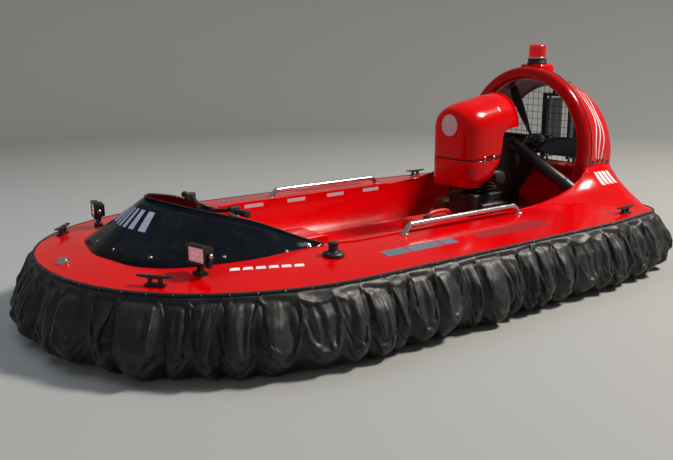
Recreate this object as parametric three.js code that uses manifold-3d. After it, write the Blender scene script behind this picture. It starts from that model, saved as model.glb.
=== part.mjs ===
// A light single-engine rescue hovercraft, parked on its landing skids.
// Millimetres, +X bow, +Y port, +Z up, origin on the ground under the middle of the craft.

import * as THREE from 'three';
import { mergeVertices } from 'three/addons/utils/BufferGeometryUtils.js';
import Module from 'manifold-3d';

const wasm = await Module();
wasm.setup();

// Driving dimensions
const RIM_LENGTH = 3880;
const RIM_WIDTH = 2134;
const GAP = 0.3;

// The duct lip's front plane is the craft's station zero, and stations grow towards the bow.
const STATION_ZERO = -1480;
const at = (station) => STATION_ZERO + station;

// Heights
const FLOOR_TOP = 150;
const HULL_BOTTOM = 45;
const DECK_UNDERSIDE = 372.5;
const RIM_TOP = 384;
const CHINE_HEIGHT = 402;
const DECK_TOP = 430;

// Deck plan: how far each line lies in from the rim
const CHINE_INSET = 137;
const FLAT_INSET = 420;

// Fan duct
const DUCT = { height: 720, inner: 465, lipOuter: 554, rear: -360, lipBack: -66, facets: 48 };

// The duct's shell narrows and drops towards the rear
// Columns: station, then radius and axis height of the outer and of the inner skin
const DUCT_RINGS = [
  { station: DUCT.lipBack, outer: 545, outerAxis: DUCT.height, inner: DUCT.inner, innerAxis: DUCT.height },
  { station: -200, outer: 527, outerAxis: 693, inner: DUCT.inner, innerAxis: DUCT.height },
  { station: DUCT.rear, outer: 505, outerAxis: 660, inner: 483, innerAxis: 662 },
];

const COLOURS = {
  gelcoat: 0xc80a0a,
  tubRed: 0xd40808,
  black: 0x101112,
  blackPlastic: 0x17181a,
  fabric: 0x1c1e20,
  rubber: 0x0c0c0d,
  tint: 0x0d131b,
  alloy: 0xbfc2c6,
  chrome: 0xd8dadd,
  badge: 0xb9b4ba,
  tank: 0xb01010,
  engine: 0x202224,
  beaconRed: 0xd81208,
};

// Geometry helpers

// A closed triangle mesh becomes a solid that can be cut and joined.
function solid(geometry) {
  const plain = geometry.clone();
  plain.deleteAttribute('normal');
  plain.deleteAttribute('uv');
  const merged = mergeVertices(plain, 1e-3);
  const index = merged.index.array;
  const kept = [];
  for (let i = 0; i < index.length; i += 3) {
    const [a, b, c] = [index[i], index[i + 1], index[i + 2]];
    if (a !== b && b !== c && c !== a) kept.push(a, b, c);
  }
  const vertProperties = new Float32Array(merged.attributes.position.array);
  const triVerts = new Uint32Array(kept);
  return new wasm.Manifold(new wasm.Mesh({ numProp: 3, vertProperties, triVerts }));
}

function geometryOf(body) {
  const mesh = body.getMesh();
  const geometry = new THREE.BufferGeometry();
  geometry.setAttribute('position', new THREE.BufferAttribute(new Float32Array(mesh.vertProperties), 3));
  geometry.setIndex(new THREE.BufferAttribute(new Uint32Array(mesh.triVerts), 1));
  geometry.computeVertexNormals();
  return geometry;
}

const union = (...bodies) => bodies.reduce((sum, body) => sum.add(body));

// Fills a ring of points with triangles, wound forwards or backwards along the ring.
function capTriangles(ring, forwards) {
  const normal = new THREE.Vector3();
  ring.forEach((p, i) => {
    const q = ring[(i + 1) % ring.length];
    normal.x += (p.y - q.y) * (p.z + q.z);
    normal.y += (p.z - q.z) * (p.x + q.x);
    normal.z += (p.x - q.x) * (p.y + q.y);
  });
  const sizes = [Math.abs(normal.x), Math.abs(normal.y), Math.abs(normal.z)];
  const drop = sizes.indexOf(Math.max(...sizes));
  const flat = ring.map((p) => {
    if (drop === 0) return new THREE.Vector2(p.y, p.z);
    if (drop === 1) return new THREE.Vector2(p.z, p.x);
    return new THREE.Vector2(p.x, p.y);
  });
  const wanted = Math.sign(THREE.ShapeUtils.area(flat)) * (forwards ? 1 : -1);
  return THREE.ShapeUtils.triangulateShape(flat, []).map((t) => {
    const turn = Math.sign(THREE.ShapeUtils.area(t.map((i) => flat[i])));
    return turn === wanted ? t : [t[0], t[2], t[1]];
  });
}

// Skins a row of rings with equal counts of points, capped at both ends or closed into a loop.
function loft(rings, loop = false) {
  const count = rings[0].length;
  const positions = rings.flat().flatMap((p) => [p.x, p.y, p.z]);
  const index = [];
  const steps = loop ? rings.length : rings.length - 1;
  for (let i = 0; i < steps; i += 1) {
    const near = i * count;
    const far = ((i + 1) % rings.length) * count;
    for (let j = 0; j < count; j += 1) {
      const k = (j + 1) % count;
      index.push(near + j, near + k, far + k, near + j, far + k, far + j);
    }
  }
  if (!loop) {
    const last = (rings.length - 1) * count;
    capTriangles(rings[0], false).forEach((t) => index.push(...t));
    capTriangles(rings[rings.length - 1], true).forEach((t) => index.push(...t.map((i) => i + last)));
  }
  const geometry = new THREE.BufferGeometry();
  geometry.setAttribute('position', new THREE.BufferAttribute(new Float32Array(positions), 3));
  geometry.setIndex(index);
  return solid(faceOut(geometry));
}

// Turns a mesh inside out when its signed volume says that it faces in.
function faceOut(geometry) {
  const p = geometry.attributes.position;
  const index = geometry.index.array;
  const a = new THREE.Vector3();
  const b = new THREE.Vector3();
  const c = new THREE.Vector3();
  let volume = 0;
  for (let i = 0; i < index.length; i += 3) {
    a.fromBufferAttribute(p, index[i]);
    b.fromBufferAttribute(p, index[i + 1]);
    c.fromBufferAttribute(p, index[i + 2]);
    volume += a.dot(b.cross(c));
  }
  if (volume < 0) {
    for (let i = 0; i < index.length; i += 3) [index[i], index[i + 1]] = [index[i + 1], index[i]];
  }
  return geometry;
}

function box(x0, x1, y0, y1, z0, z1) {
  const geometry = new THREE.BoxGeometry(x1 - x0, y1 - y0, z1 - z0);
  geometry.translate((x0 + x1) / 2, (y0 + y1) / 2, (z0 + z1) / 2);
  return solid(geometry);
}

// A plan outline raised between two heights.
function prism(outline, z0, z1) {
  const geometry = new THREE.ExtrudeGeometry(new THREE.Shape(outline), { depth: z1 - z0, bevelEnabled: false });
  geometry.translate(0, 0, z0);
  return solid(geometry);
}

// A shape drawn in Y and Z, extruded along X from x0 to x1.
function slabAcross(shape, x0, x1) {
  const geometry = new THREE.ExtrudeGeometry(shape, { depth: x1 - x0, bevelEnabled: false, curveSegments: 24 });
  const turn = new THREE.Matrix4().makeBasis(
    new THREE.Vector3(0, 1, 0), new THREE.Vector3(0, 0, 1), new THREE.Vector3(1, 0, 0));
  geometry.applyMatrix4(turn);
  geometry.translate(x0, 0, 0);
  return solid(geometry);
}

// A shape drawn in X and Z, extruded along Y about its middle.
function slabAlong(shape, width) {
  const geometry = new THREE.ExtrudeGeometry(shape, { depth: width, bevelEnabled: false, curveSegments: 6 });
  geometry.translate(0, 0, -width / 2);
  geometry.rotateX(Math.PI / 2);
  return solid(geometry);
}

// A turned body on the fan's axis: profile rows are radius and station.
function turnedOnDuct(profile, facets = DUCT.facets) {
  const points = [...profile, profile[0]].map(([radius, station]) => new THREE.Vector2(radius, station));
  const geometry = new THREE.LatheGeometry(points, facets);
  geometry.rotateZ(-Math.PI / 2);
  geometry.translate(STATION_ZERO, 0, DUCT.height);
  return solid(faceOut(mergeVertices(stripped(geometry), 1e-3)));
}

// A turned body standing up: profile rows are radius and height, first and last on the axis.
function turned(profile, facets = 20) {
  const points = profile.map(([radius, height]) => new THREE.Vector2(radius, height));
  const geometry = new THREE.LatheGeometry(points, facets);
  geometry.rotateX(Math.PI / 2);
  return solid(faceOut(mergeVertices(stripped(geometry), 1e-3)));
}

function stripped(geometry) {
  geometry.deleteAttribute('normal');
  geometry.deleteAttribute('uv');
  return geometry;
}

function tube(points, radius, steps, sides = 10) {
  const path = new THREE.CatmullRomCurve3(points, false, 'catmullrom', 0.35);
  const section = new THREE.Shape().absarc(0, 0, radius, 0, Math.PI * 2);
  const options = { steps, extrudePath: path, curveSegments: sides / 2, bevelEnabled: false };
  const geometry = new THREE.ExtrudeGeometry(section, options);
  return solid(faceOut(mergeVertices(stripped(geometry), 1e-3)));
}

const straightTube = (from, to, radius, sides = 12) => tube([from, to], radius, 1, sides);
const v3 = (x, y, z) => new THREE.Vector3(x, y, z);
const mirrored = (body) => body.mirror([0, 1, 0]);

// Rim outline: half of it runs from the bow's tip round the port side to the middle of the stern.
const BOW_TIP = RIM_LENGTH / 2;
const HALF_WIDTH = RIM_WIDTH / 2;
const BOW = { centre: at(2200), power: 2.15 };
const TAPER = { start: at(400), end: at(-60), endHalf: 1018 };
const CORNER = { control: [at(-151), 1008], end: [at(-210), 900] };
const FINE_STEPS = 90;

function halfRim() {
  const points = [];
  const reach = BOW_TIP - BOW.centre;
  for (let i = 0; i <= FINE_STEPS; i += 1) {
    const t = (i / FINE_STEPS) * Math.PI / 2;
    const x = BOW.centre + reach * Math.max(Math.cos(t), 0) ** (2 / BOW.power);
    const y = HALF_WIDTH * Math.sin(t) ** (2 / BOW.power);
    points.push(new THREE.Vector2(x, y));
  }
  points.push(new THREE.Vector2(TAPER.start, HALF_WIDTH));
  const corner = new THREE.QuadraticBezierCurve(
    new THREE.Vector2(TAPER.end, TAPER.endHalf),
    new THREE.Vector2(...CORNER.control),
    new THREE.Vector2(...CORNER.end));
  points.push(...corner.getPoints(12));
  const [endX, endY] = CORNER.end;
  for (let i = 1; i <= 16; i += 1) {
    const y = endY * (1 - i / 16);
    points.push(new THREE.Vector2(-BOW_TIP + (endX + BOW_TIP) * (y / endY) ** 2, y));
  }
  return points;
}

const HALF_RIM = halfRim();
const HALF_LENGTHS = HALF_RIM.reduce((sums, p, i) => {
  sums.push(i === 0 ? 0 : sums[i - 1] + p.distanceTo(HALF_RIM[i - 1]));
  return sums;
}, []);
const HALF_PERIMETER = HALF_LENGTHS[HALF_LENGTHS.length - 1];

// A point of the port half of the rim, by its distance along it from the bow's tip.
function halfRimAt(distance) {
  const d = THREE.MathUtils.clamp(distance, 0, HALF_PERIMETER);
  let i = 1;
  while (i < HALF_RIM.length - 1 && HALF_LENGTHS[i] < d) i += 1;
  const share = (d - HALF_LENGTHS[i - 1]) / (HALF_LENGTHS[i] - HALF_LENGTHS[i - 1]);
  return HALF_RIM[i - 1].clone().lerp(HALF_RIM[i], share);
}

// A point of the whole rim: distances run on past the stern and back up the starboard side.
function rimAt(distance) {
  const d = ((distance % (2 * HALF_PERIMETER)) + 2 * HALF_PERIMETER) % (2 * HALF_PERIMETER);
  if (d <= HALF_PERIMETER) return halfRimAt(d);
  const p = halfRimAt(2 * HALF_PERIMETER - d);
  return new THREE.Vector2(p.x, -p.y);
}

// The rim's outward direction in plan.
function rimNormal(distance) {
  const span = 60;
  const along = rimAt(distance + span).sub(rimAt(distance - span)).normalize();
  return new THREE.Vector2(along.y, -along.x);
}

// Distance along the half rim at which the rim passes a station.
function rimDistanceOf(station) {
  const i = HALF_RIM.findIndex((p) => p.x < at(station));
  const [a, b] = [HALF_RIM[i - 1], HALF_RIM[i]];
  const share = (a.x - at(station)) / (a.x - b.x);
  return THREE.MathUtils.lerp(HALF_LENGTHS[i - 1], HALF_LENGTHS[i], share);
}

// Plan rings for the hull and the deck: distances along the rim, closer where it curves.
const RING_STEPS = [
  { until: rimDistanceOf(2200), count: 16 },
  { until: rimDistanceOf(400), count: 4 },
  { until: rimDistanceOf(-60), count: 2 },
  { until: rimDistanceOf(-205), count: 6 },
  { until: HALF_PERIMETER, count: 5 },
];

function ringDistances() {
  const distances = [0];
  let from = 0;
  RING_STEPS.forEach(({ until, count }) => {
    for (let i = 1; i <= count; i += 1) distances.push(from + ((until - from) * i) / count);
    from = until;
  });
  const back = distances.slice(1, -1).reverse().map((d) => 2 * HALF_PERIMETER - d);
  return [...distances, ...back];
}

const RING = ringDistances().map(rimAt);

// The rim's outline drawn in by an inset on every side, at one height.
function planRing(inset, z) {
  const sx = 1 - inset / BOW_TIP;
  const sy = 1 - inset / HALF_WIDTH;
  return RING.map((p) => v3(p.x * sx, p.y * sy, z));
}

// Cockpit plan: rows are station and half width, from the aft bulkhead to the rounded front.
const COCKPIT = { wall: 12 };
const COCKPIT_SIDE = [
  { station: DUCT.lipBack, half: 558 },
  { station: 20, half: 566 },
  { station: 200, half: 598 },
  { station: 600, half: 610 },
  { station: 2020, half: 610 },
  { station: 2180, half: 576 },
];
const COCKPIT_FRONT = { control: [2885, 562], end: [2905, 0] };

function cockpitOutline(grow) {
  const side = COCKPIT_SIDE.map(({ station, half }, i) => (
    new THREE.Vector2(at(station) - (i === 0 ? grow : 0), half + grow)));
  const front = new THREE.QuadraticBezierCurve(
    side[side.length - 1],
    new THREE.Vector2(at(COCKPIT_FRONT.control[0]) + grow, COCKPIT_FRONT.control[1] + grow),
    new THREE.Vector2(at(COCKPIT_FRONT.end[0]) + grow, COCKPIT_FRONT.end[1])).getPoints(8);
  const half = [...side, ...front.slice(1)];
  const other = half.slice(0, -1).reverse().map((p) => new THREE.Vector2(p.x, -p.y));
  return [...half, ...other].reverse();
}

// A solid bar on the fan's axis between two stations.
function spindle(radius, from, to, facets) {
  const points = [[0, from], [radius, from], [radius, to], [0, to]].map(([r, s]) => new THREE.Vector2(r, s));
  const geometry = new THREE.LatheGeometry(points, facets);
  geometry.rotateZ(-Math.PI / 2);
  geometry.translate(STATION_ZERO, 0, DUCT.height);
  return solid(faceOut(mergeVertices(stripped(geometry), 1e-3)));
}

// The duct's outer or inner form as a solid, grown all round and drawn out at both ends.
function ductForm(skin, grow, draw = 0) {
  const last = DUCT_RINGS.length - 1;
  const rings = DUCT_RINGS.map((row, i) => {
    const x = at(row.station) + (i === 0 ? draw : 0) - (i === last ? draw : 0);
    const radius = row[skin] + grow;
    const axis = row[`${skin}Axis`];
    const ring = [];
    for (let k = 0; k < DUCT.facets; k += 1) {
      const angle = (2 * Math.PI * k) / DUCT.facets;
      ring.push(v3(x, radius * Math.cos(angle), axis + radius * Math.sin(angle)));
    }
    return ring;
  });
  return loft(rings);
}

// Clearance round the duct, which the hull, the tub and the deck are cut back to
const FIT = 0.4;
const ductCut = union(
  ductForm('outer', FIT, FIT),
  spindle(DUCT.lipOuter + FIT, DUCT.lipBack - FIT, 1, DUCT.facets));

// Lower hull: closed planing hull with the cockpit's and the duct's wells sunk in it
const HULL_RINGS = [
  { inset: 150, z: HULL_BOTTOM },
  { inset: 95, z: 160 },
  { inset: 25, z: DECK_UNDERSIDE - GAP },
];

function lowerHull() {
  const full = loft(HULL_RINGS.map(({ inset, z }) => planRing(inset, z)));
  const well = prism(cockpitOutline(COCKPIT.wall + FIT), FLOOR_TOP - COCKPIT.wall - FIT, DECK_TOP);
  return full.subtract(well).subtract(ductCut);
}

// Cockpit tub: floor, side walls, aft bulkhead round the duct, and the coaming's flange
const FLANGE = { width: 20, thickness: 6, aft: 740, fore: 2150 };

function cockpitTub() {
  const outer = prism(cockpitOutline(COCKPIT.wall), FLOOR_TOP - COCKPIT.wall, DECK_TOP);
  const inner = prism(cockpitOutline(0), FLOOR_TOP, DECK_TOP + 100);
  const flangeTop = DECK_TOP + GAP + FLANGE.thickness;
  const reach = box(at(FLANGE.aft), at(FLANGE.fore), -HALF_WIDTH, HALF_WIDTH, DECK_TOP - 2, flangeTop + 1);
  const flange = prism(cockpitOutline(COCKPIT.wall + FLANGE.width), DECK_TOP + GAP, flangeTop)
    .intersect(reach);
  const neck = prism(cockpitOutline(COCKPIT.wall), DECK_TOP - 1, flangeTop).intersect(reach);
  return union(outer, neck, flange).subtract(inner).subtract(ductCut);
}

// Fairings: the deck sweeps up to the duct's foot on both sides
// Columns: station, the top edge's height, and Y at equal steps down from it to the foot
const FAIRING_FOOT = 380;
const FAIRING = [
  { station: -352, topZ: 600, across: [507, 530, 551, 567, 576, 579] },
  { station: -320, topZ: 612, across: [518, 560, 603, 637, 651, 656] },
  { station: -262, topZ: 620, across: [528, 576, 634, 702, 761, 785] },
  { station: -200, topZ: 622, across: [533, 584, 646, 727, 826, 898] },
  { station: -100, topZ: 622, across: [541, 583, 640, 724, 846, 972] },
  { station: 0, topZ: 612, across: [560, 592, 640, 714, 826, 972] },
  { station: 60, topZ: 560, across: [572, 600, 642, 708, 812, 958] },
  { station: 190, topZ: 508, across: [600, 622, 655, 710, 798, 933] },
  { station: 330, topZ: 470, across: [606, 630, 664, 712, 785, 898] },
  { station: 500, topZ: 446, across: [612, 632, 660, 700, 760, 838] },
  { station: 700, topZ: 431, across: [616, 628, 645, 668, 700, 740] },
];
const FAIRING_STEPS = 7;
const FAIRING_CORE = 440;

function fairing() {
  const rings = FAIRING.map(({ station, topZ, across }) => {
    const step = (FAIRING_FOOT - topZ) / (across.length - 1);
    const points = across.map((y, i) => v3(at(station), y, topZ + step * i));
    const slope = new THREE.CatmullRomCurve3(points).getPoints(FAIRING_STEPS);
    return [...slope, v3(at(station), FAIRING_CORE, FAIRING_FOOT), v3(at(station), FAIRING_CORE, topZ)];
  });
  return loft(rings);
}

// Deck moulding: rim, sloping side decks, flat coaming deck and both fairings in one
const DECK_RINGS = [
  { inset: 0, z: DECK_UNDERSIDE },
  { inset: 0, z: RIM_TOP },
  { inset: CHINE_INSET, z: CHINE_HEIGHT },
  { inset: FLAT_INSET, z: DECK_TOP },
];

function deckMoulding() {
  const slab = loft(DECK_RINGS.map(({ inset, z }) => planRing(inset, z)));
  const side = fairing();
  const opening = prism(cockpitOutline(COCKPIT.wall + FIT), FLOOR_TOP, DECK_TOP + FIT);
  const above = prism(cockpitOutline(0), DECK_TOP, 1000)
    .intersect(box(at(0.5), at(3200), -HALF_WIDTH, HALF_WIDTH, DECK_TOP, 1001));
  return union(slab, side, mirrored(side)).subtract(opening).subtract(above).subtract(ductCut);
}

// Whatever stands on the deck is drawn into it a little and cut back to a thin gap.
const deck = deckMoulding();
const raisedDeck = deck.translate([0, 0, GAP]);
const seated = (body) => body.subtract(raisedDeck);

// Rub rail: a thin black strip round the rim's edge
const RUB_RAIL = { depth: 11, low: DECK_UNDERSIDE, high: 387 };

function rubRail() {
  const rings = RING.map((p) => {
    const place = (out, z) => {
      const sx = 1 + out / BOW_TIP;
      const sy = 1 + out / HALF_WIDTH;
      return v3(p.x * sx, p.y * sy, z);
    };
    return [
      place(GAP, RUB_RAIL.low), place(RUB_RAIL.depth, RUB_RAIL.low + 2),
      place(RUB_RAIL.depth, RUB_RAIL.high - 3), place(GAP, RUB_RAIL.high),
    ];
  });
  return loft(rings, true);
}

// Skirt: hanging fabric segments, each bulging between two seams
// Columns: distance out from the rim, height, and how deep the seams sink there
const SKIRT_TOP = DECK_UNDERSIDE - GAP;
const SKIRT_FOOT = 3;
const SKIRT_OUTSIDE = [
  { out: 6, z: SKIRT_TOP, seam: 2 },
  { out: 88, z: 338, seam: 22 },
  { out: 150, z: 232, seam: 40 },
  { out: 152, z: 140, seam: 44 },
  { out: 96, z: 46, seam: 36 },
  { out: 14, z: SKIRT_FOOT, seam: 14 },
];
const SKIRT_INSIDE = [
  { out: -50, z: SKIRT_FOOT },
  { out: -66, z: 176 },
  { out: -12, z: SKIRT_TOP },
];
const SEGMENT_PITCH = 150;
const SEAM_SHARES = [1, 0.12, 0.12];

function skirtRun(from, to) {
  const margin = 1.5;
  const segments = Math.round((to - from) / SEGMENT_PITCH);
  const columns = segments * SEAM_SHARES.length;
  const rings = [];
  for (let i = 0; i <= columns; i += 1) {
    const d = from + margin + ((to - from - 2 * margin) * i) / columns;
    const p = rimAt(d);
    const n = rimNormal(d);
    const sink = SEAM_SHARES[i % SEAM_SHARES.length];
    const place = (out, z) => v3(p.x + n.x * out, p.y + n.y * out, z);
    const outside = SKIRT_OUTSIDE.map(({ out, z, seam }) => place(out - seam * sink, z));
    const inside = SKIRT_INSIDE.map(({ out, z }) => place(out, z));
    rings.push([...outside, ...inside]);
  }
  return loft(rings);
}

const SKIRT_SPLITS = { bow: rimDistanceOf(2200), stern: rimDistanceOf(-40) };
const SKIRT_RUNS = [
  { name: 'skirt_bow', from: -SKIRT_SPLITS.bow, to: SKIRT_SPLITS.bow },
  { name: 'skirt_port', from: SKIRT_SPLITS.bow, to: SKIRT_SPLITS.stern },
  { name: 'skirt_stern', from: SKIRT_SPLITS.stern, to: 2 * HALF_PERIMETER - SKIRT_SPLITS.stern },
  {
    name: 'skirt_starboard',
    from: 2 * HALF_PERIMETER - SKIRT_SPLITS.stern,
    to: 2 * HALF_PERIMETER - SKIRT_SPLITS.bow,
  },
];

// Landing skids: three runners under the hull that it stands on
const SKID = { from: 40, to: 2560, nose: 90, width: 60 };
const SKIDS = [
  { name: 'skid_port', y: 430 },
  { name: 'skid_centre', y: 0 },
  { name: 'skid_starboard', y: -430 },
];

function skid() {
  const top = HULL_BOTTOM - GAP;
  const side = new THREE.Shape([
    new THREE.Vector2(at(SKID.from), top),
    new THREE.Vector2(at(SKID.from + SKID.nose), 0),
    new THREE.Vector2(at(SKID.to - SKID.nose), 0),
    new THREE.Vector2(at(SKID.to), top),
  ]);
  return slabAlong(side, SKID.width);
}

// Console: a box down the cockpit's middle that carries the steering
const CONSOLE = { from: 1820, to: 2780, half: 130, top: 345, round: 45 };

function consoleBox() {
  const { from, to, half, top, round } = CONSOLE;
  const low = FLOOR_TOP + GAP;
  const side = new THREE.Shape();
  side.moveTo(at(from), low);
  side.lineTo(at(to), low);
  side.lineTo(at(to), top + 20);
  side.lineTo(at(to - 180), top + 20);
  side.lineTo(at(to - 240), top);
  side.lineTo(at(from + round), top);
  side.quadraticCurveTo(at(from), top, at(from), top - round);
  return slabAlong(side, half * 2);
}

// Windscreen: a tinted sheet, leaning in from the coaming, folded round the bow
// Columns: the foot's station and Y, and the top edge's station, Y and Z, aft tip first
const SCREEN = [
  { footStation: 2205, footY: 602, topStation: 2200, topY: 601, topZ: 437 },
  { footStation: 2420, footY: 606, topStation: 2290, topY: 532, topZ: 468 },
  { footStation: 2640, footY: 594, topStation: 2500, topY: 430, topZ: 560 },
  { footStation: 2930, footY: 490, topStation: 2720, topY: 300, topZ: 622 },
  { footStation: 3080, footY: 330, topStation: 2815, topY: 165, topZ: 646 },
  { footStation: 3138, footY: 130, topStation: 2866, topY: 62, topZ: 660 },
  { footStation: 3156, footY: 0, topStation: 2880, topY: 0, topZ: 664 },
];
const SCREEN_THICKNESS = 5;
const SCREEN_FOOT = 404;
const SCREEN_SINK = 0.35;
const SCREEN_STEPS = 9;

function windscreen() {
  const otherSide = SCREEN.slice(0, -1).reverse().map((row) => ({ ...row, footY: -row.footY, topY: -row.topY }));
  const all = [...SCREEN, ...otherSide];
  const feet = all.map((row) => v3(at(row.footStation), row.footY, DECK_TOP));
  const tops = all.map((row) => v3(at(row.topStation), row.topY, row.topZ));
  const footCurve = new THREE.CatmullRomCurve3(feet, false, 'catmullrom', 0.5);
  const topCurve = new THREE.CatmullRomCurve3(tops, false, 'catmullrom', 0.5);
  const count = SCREEN_STEPS * 2;
  const rings = [];
  for (let i = 0; i <= SCREEN_STEPS; i += 1) {
    const foot = footCurve.getPoint(i / count);
    const top = topCurve.getPoint(i / count);
    const rise = top.clone().sub(foot);
    const sunk = Math.min((foot.z - SCREEN_FOOT) / rise.z, SCREEN_SINK);
    const low = foot.clone().addScaledVector(rise, -sunk);
    const along = footCurve.getTangent(i / count);
    const inward = rise.clone().cross(along).normalize();
    if (inward.dot(v3(at(2500), 0, DECK_TOP).sub(foot)) < 0) inward.negate();
    const shift = inward.multiplyScalar(SCREEN_THICKNESS);
    rings.push([low, top, top.clone().add(shift), low.clone().add(shift)]);
  }
  const others = rings.slice(0, -1).reverse().map((ring) => ring.map((p) => v3(p.x, -p.y, p.z)));
  return seated(loft([...rings, ...others]));
}

// Fan duct: rolled lip, double-skinned shell
function ductLip() {
  const back = DUCT.lipBack + GAP;
  return turnedOnDuct([
    [DUCT.inner + 3, back], [DUCT.inner + 1, -34], [DUCT.inner + 9, -9], [DUCT.inner + 26, 0],
    [DUCT.lipOuter - 26, 0], [DUCT.lipOuter - 8, -10], [DUCT.lipOuter, -34], [DUCT.lipOuter - 3, back],
  ]);
}

function ductShell() {
  const behindLip = box(at(DUCT.rear) - 1, at(DUCT.lipBack) - GAP, -600, 600, 0, 1300);
  return ductForm('outer', 0).subtract(ductForm('inner', 0, 1)).intersect(behindLip);
}

// Lift splitter: a shelf that sends the lower third of the air down under the hull
const SPLITTER = { top: 574, thick: 12, front: -216, rear: -358 };

function liftSplitter() {
  const { top, thick, front, rear } = SPLITTER;
  const shelf = box(at(rear), at(front), -500, 500, top - thick, top);
  const closing = box(at(rear), at(rear + thick), -500, 500, FLOOR_TOP, top);
  return union(shelf, closing).intersect(ductForm('inner', -FIT, 1));
}

// Guard: a wire grille over the duct's open rear, above the splitter
const GUARD = { back: -358, thick: 7, pitch: 75, wire: 6, border: 12, reach: 5 };

function ductGuard() {
  const { pitch, wire, border, reach } = GUARD;
  const sill = SPLITTER.top + GAP;
  const [back, front] = [at(GUARD.back), at(GUARD.back + GUARD.thick)];
  const within = box(back, front, -500, 500, sill, 1200).intersect(ductForm('inner', -1, 1));
  const wires = [];
  for (let y = -reach * pitch; y <= reach * pitch; y += pitch) {
    wires.push(box(back, front, y - wire / 2, y + wire / 2, sill, 1200));
  }
  for (let z = sill + border / 2 + pitch; z < 1130; z += pitch) {
    wires.push(box(back, front, -500, 500, z - wire / 2, z + wire / 2));
  }
  const foot = box(back, front, -500, 500, sill, sill + border);
  const rim = within.subtract(ductForm('inner', -1 - border, 1));
  return union(rim, foot, ...wires).intersect(within);
}

// Fan beam: a bar across the duct behind the fan, with the bearing's boss
const BEAM = { front: -300, back: -330, half: 38, boss: 52 };

function fanBeam() {
  const { front, back, half, boss } = BEAM;
  const bar = box(at(back), at(front), -500, 500, DUCT.height - half, DUCT.height + half);
  return union(bar.intersect(ductForm('inner', -FIT, 1)), spindle(boss, back, front + 20, 20));
}

// Fan: pitched blades on a hub and shaft
// Columns: radius, chord, pitch angle in degrees and thickness
const FAN = { station: -150, blades: 3, hub: 74, hubHalf: 42, shaft: 21, firstAngle: 30 };
const BLADE = [
  { radius: 60, chord: 104, pitch: 48, thick: 18 },
  { radius: 130, chord: 136, pitch: 41, thick: 16 },
  { radius: 220, chord: 150, pitch: 34, thick: 13 },
  { radius: 330, chord: 142, pitch: 27, thick: 10 },
  { radius: 415, chord: 122, pitch: 22, thick: 7 },
  { radius: 452, chord: 92, pitch: 20, thick: 5 },
];
const BELT = {
  from: 92, to: 160, low: 300, headRadius: 62, footRadius: 86, armHalf: 60, armLow: 250, armHigh: 400,
};

function fanBlade(angle) {
  const rings = BLADE.map(({ radius, chord, pitch, thick }) => {
    const lean = THREE.MathUtils.degToRad(pitch);
    const outline = [[-0.5, 0], [-0.2, 0.5], [0.2, 0.45], [0.5, 0], [0.2, -0.28], [-0.2, -0.3]];
    return outline.map(([along, off]) => {
      const u = along * chord;
      const w = off * thick;
      const x = u * Math.sin(lean) + w * Math.cos(lean);
      const y = u * Math.cos(lean) - w * Math.sin(lean);
      return v3(x, y, radius);
    });
  });
  return loft(rings).rotate([angle, 0, 0]).translate([at(FAN.station), 0, DUCT.height]);
}

function fan() {
  const { station, hub, hubHalf, shaft } = FAN;
  const parts = [
    spindle(hub, station - hubHalf, station + hubHalf, 24),
    spindle(hub * 0.6, station - hubHalf, station + hubHalf + 22, 24),
    spindle(shaft, BEAM.front + 20 + 0.5, BELT.from - 0.5, 14),
  ];
  for (let i = 0; i < FAN.blades; i += 1) parts.push(fanBlade(FAN.firstAngle + (360 * i) / FAN.blades));
  return union(...parts);
}

// Rudders behind the guard, and the frame that holds their pivots
const RUDDER = { pivot: -432, lead: 44, trail: 150, thick: 18, low: 590, high: 1034, y: 100, pin: 7 };
const RUDDER_FRAME = { low: 556, high: 1060, bar: 20, half: 160, lowTab: 130, topTab: 60, topTabZ: 1151 };

function rudderFrame() {
  const { low, high, bar, half, lowTab, topTab, topTabZ } = RUDDER_FRAME;
  const [near, far] = [at(RUDDER.pivot + 16), at(RUDDER.pivot - 16)];
  const edge = bar / 2;
  const rail = (z) => box(far, near, -half, half, z - edge, z + edge);
  const bars = [rail(low), rail(high)];
  [-1, 1].forEach((side) => {
    const post = side * (half - edge);
    bars.push(box(far, near, post - edge, post + edge, low, high));
    const tab = side * lowTab;
    bars.push(box(near - 4, at(SPLITTER.rear) - GAP, tab - edge, tab + edge, low - edge, low + edge));
    const riser = side * topTab;
    bars.push(box(far + 8, near, riser - edge, riser + edge, high, topTabZ + edge));
    bars.push(box(near - 4, at(DUCT.rear) - GAP, riser - edge, riser + edge, topTabZ - edge, topTabZ + edge));
  });
  return union(...bars);
}

function rudder(side) {
  const { pivot, lead, trail, thick, low, high, y, pin } = RUDDER;
  const outline = new THREE.Shape();
  outline.moveTo(lead, 0);
  outline.quadraticCurveTo(lead, thick / 2, lead - 30, thick / 2);
  outline.lineTo(-trail * 0.5, thick / 2);
  outline.lineTo(-trail, 1.5);
  outline.lineTo(-trail, -1.5);
  outline.lineTo(-trail * 0.5, -thick / 2);
  outline.lineTo(lead - 30, -thick / 2);
  outline.quadraticCurveTo(lead, -thick / 2, lead, 0);
  const vane = new THREE.ExtrudeGeometry(outline, { depth: high - low, bevelEnabled: false, curveSegments: 4 });
  vane.translate(at(pivot), side * y, low);
  const { low: barLow, high: barHigh, bar } = RUDDER_FRAME;
  const pinLow = barLow + bar / 2 + 0.4;
  const pinHigh = barHigh - bar / 2 - 0.4;
  const rod = turned([[0, pinLow], [pin, pinLow], [pin, pinHigh], [0, pinHigh]], 12)
    .translate([at(pivot), side * y, 0]);
  return union(solid(vane), rod);
}

// Engine: crankcase, finned cylinder and head, with a bar that carries the cowl
const ENGINE = { from: 270, low: 186, caseTop: 430 };
const CYLINDER = { from: 360, to: 520, half: 72, top: 690 };
const COWL_BAR = { station: 612, reach: 14, half: 192.5, low: 592, high: 620 };
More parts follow.
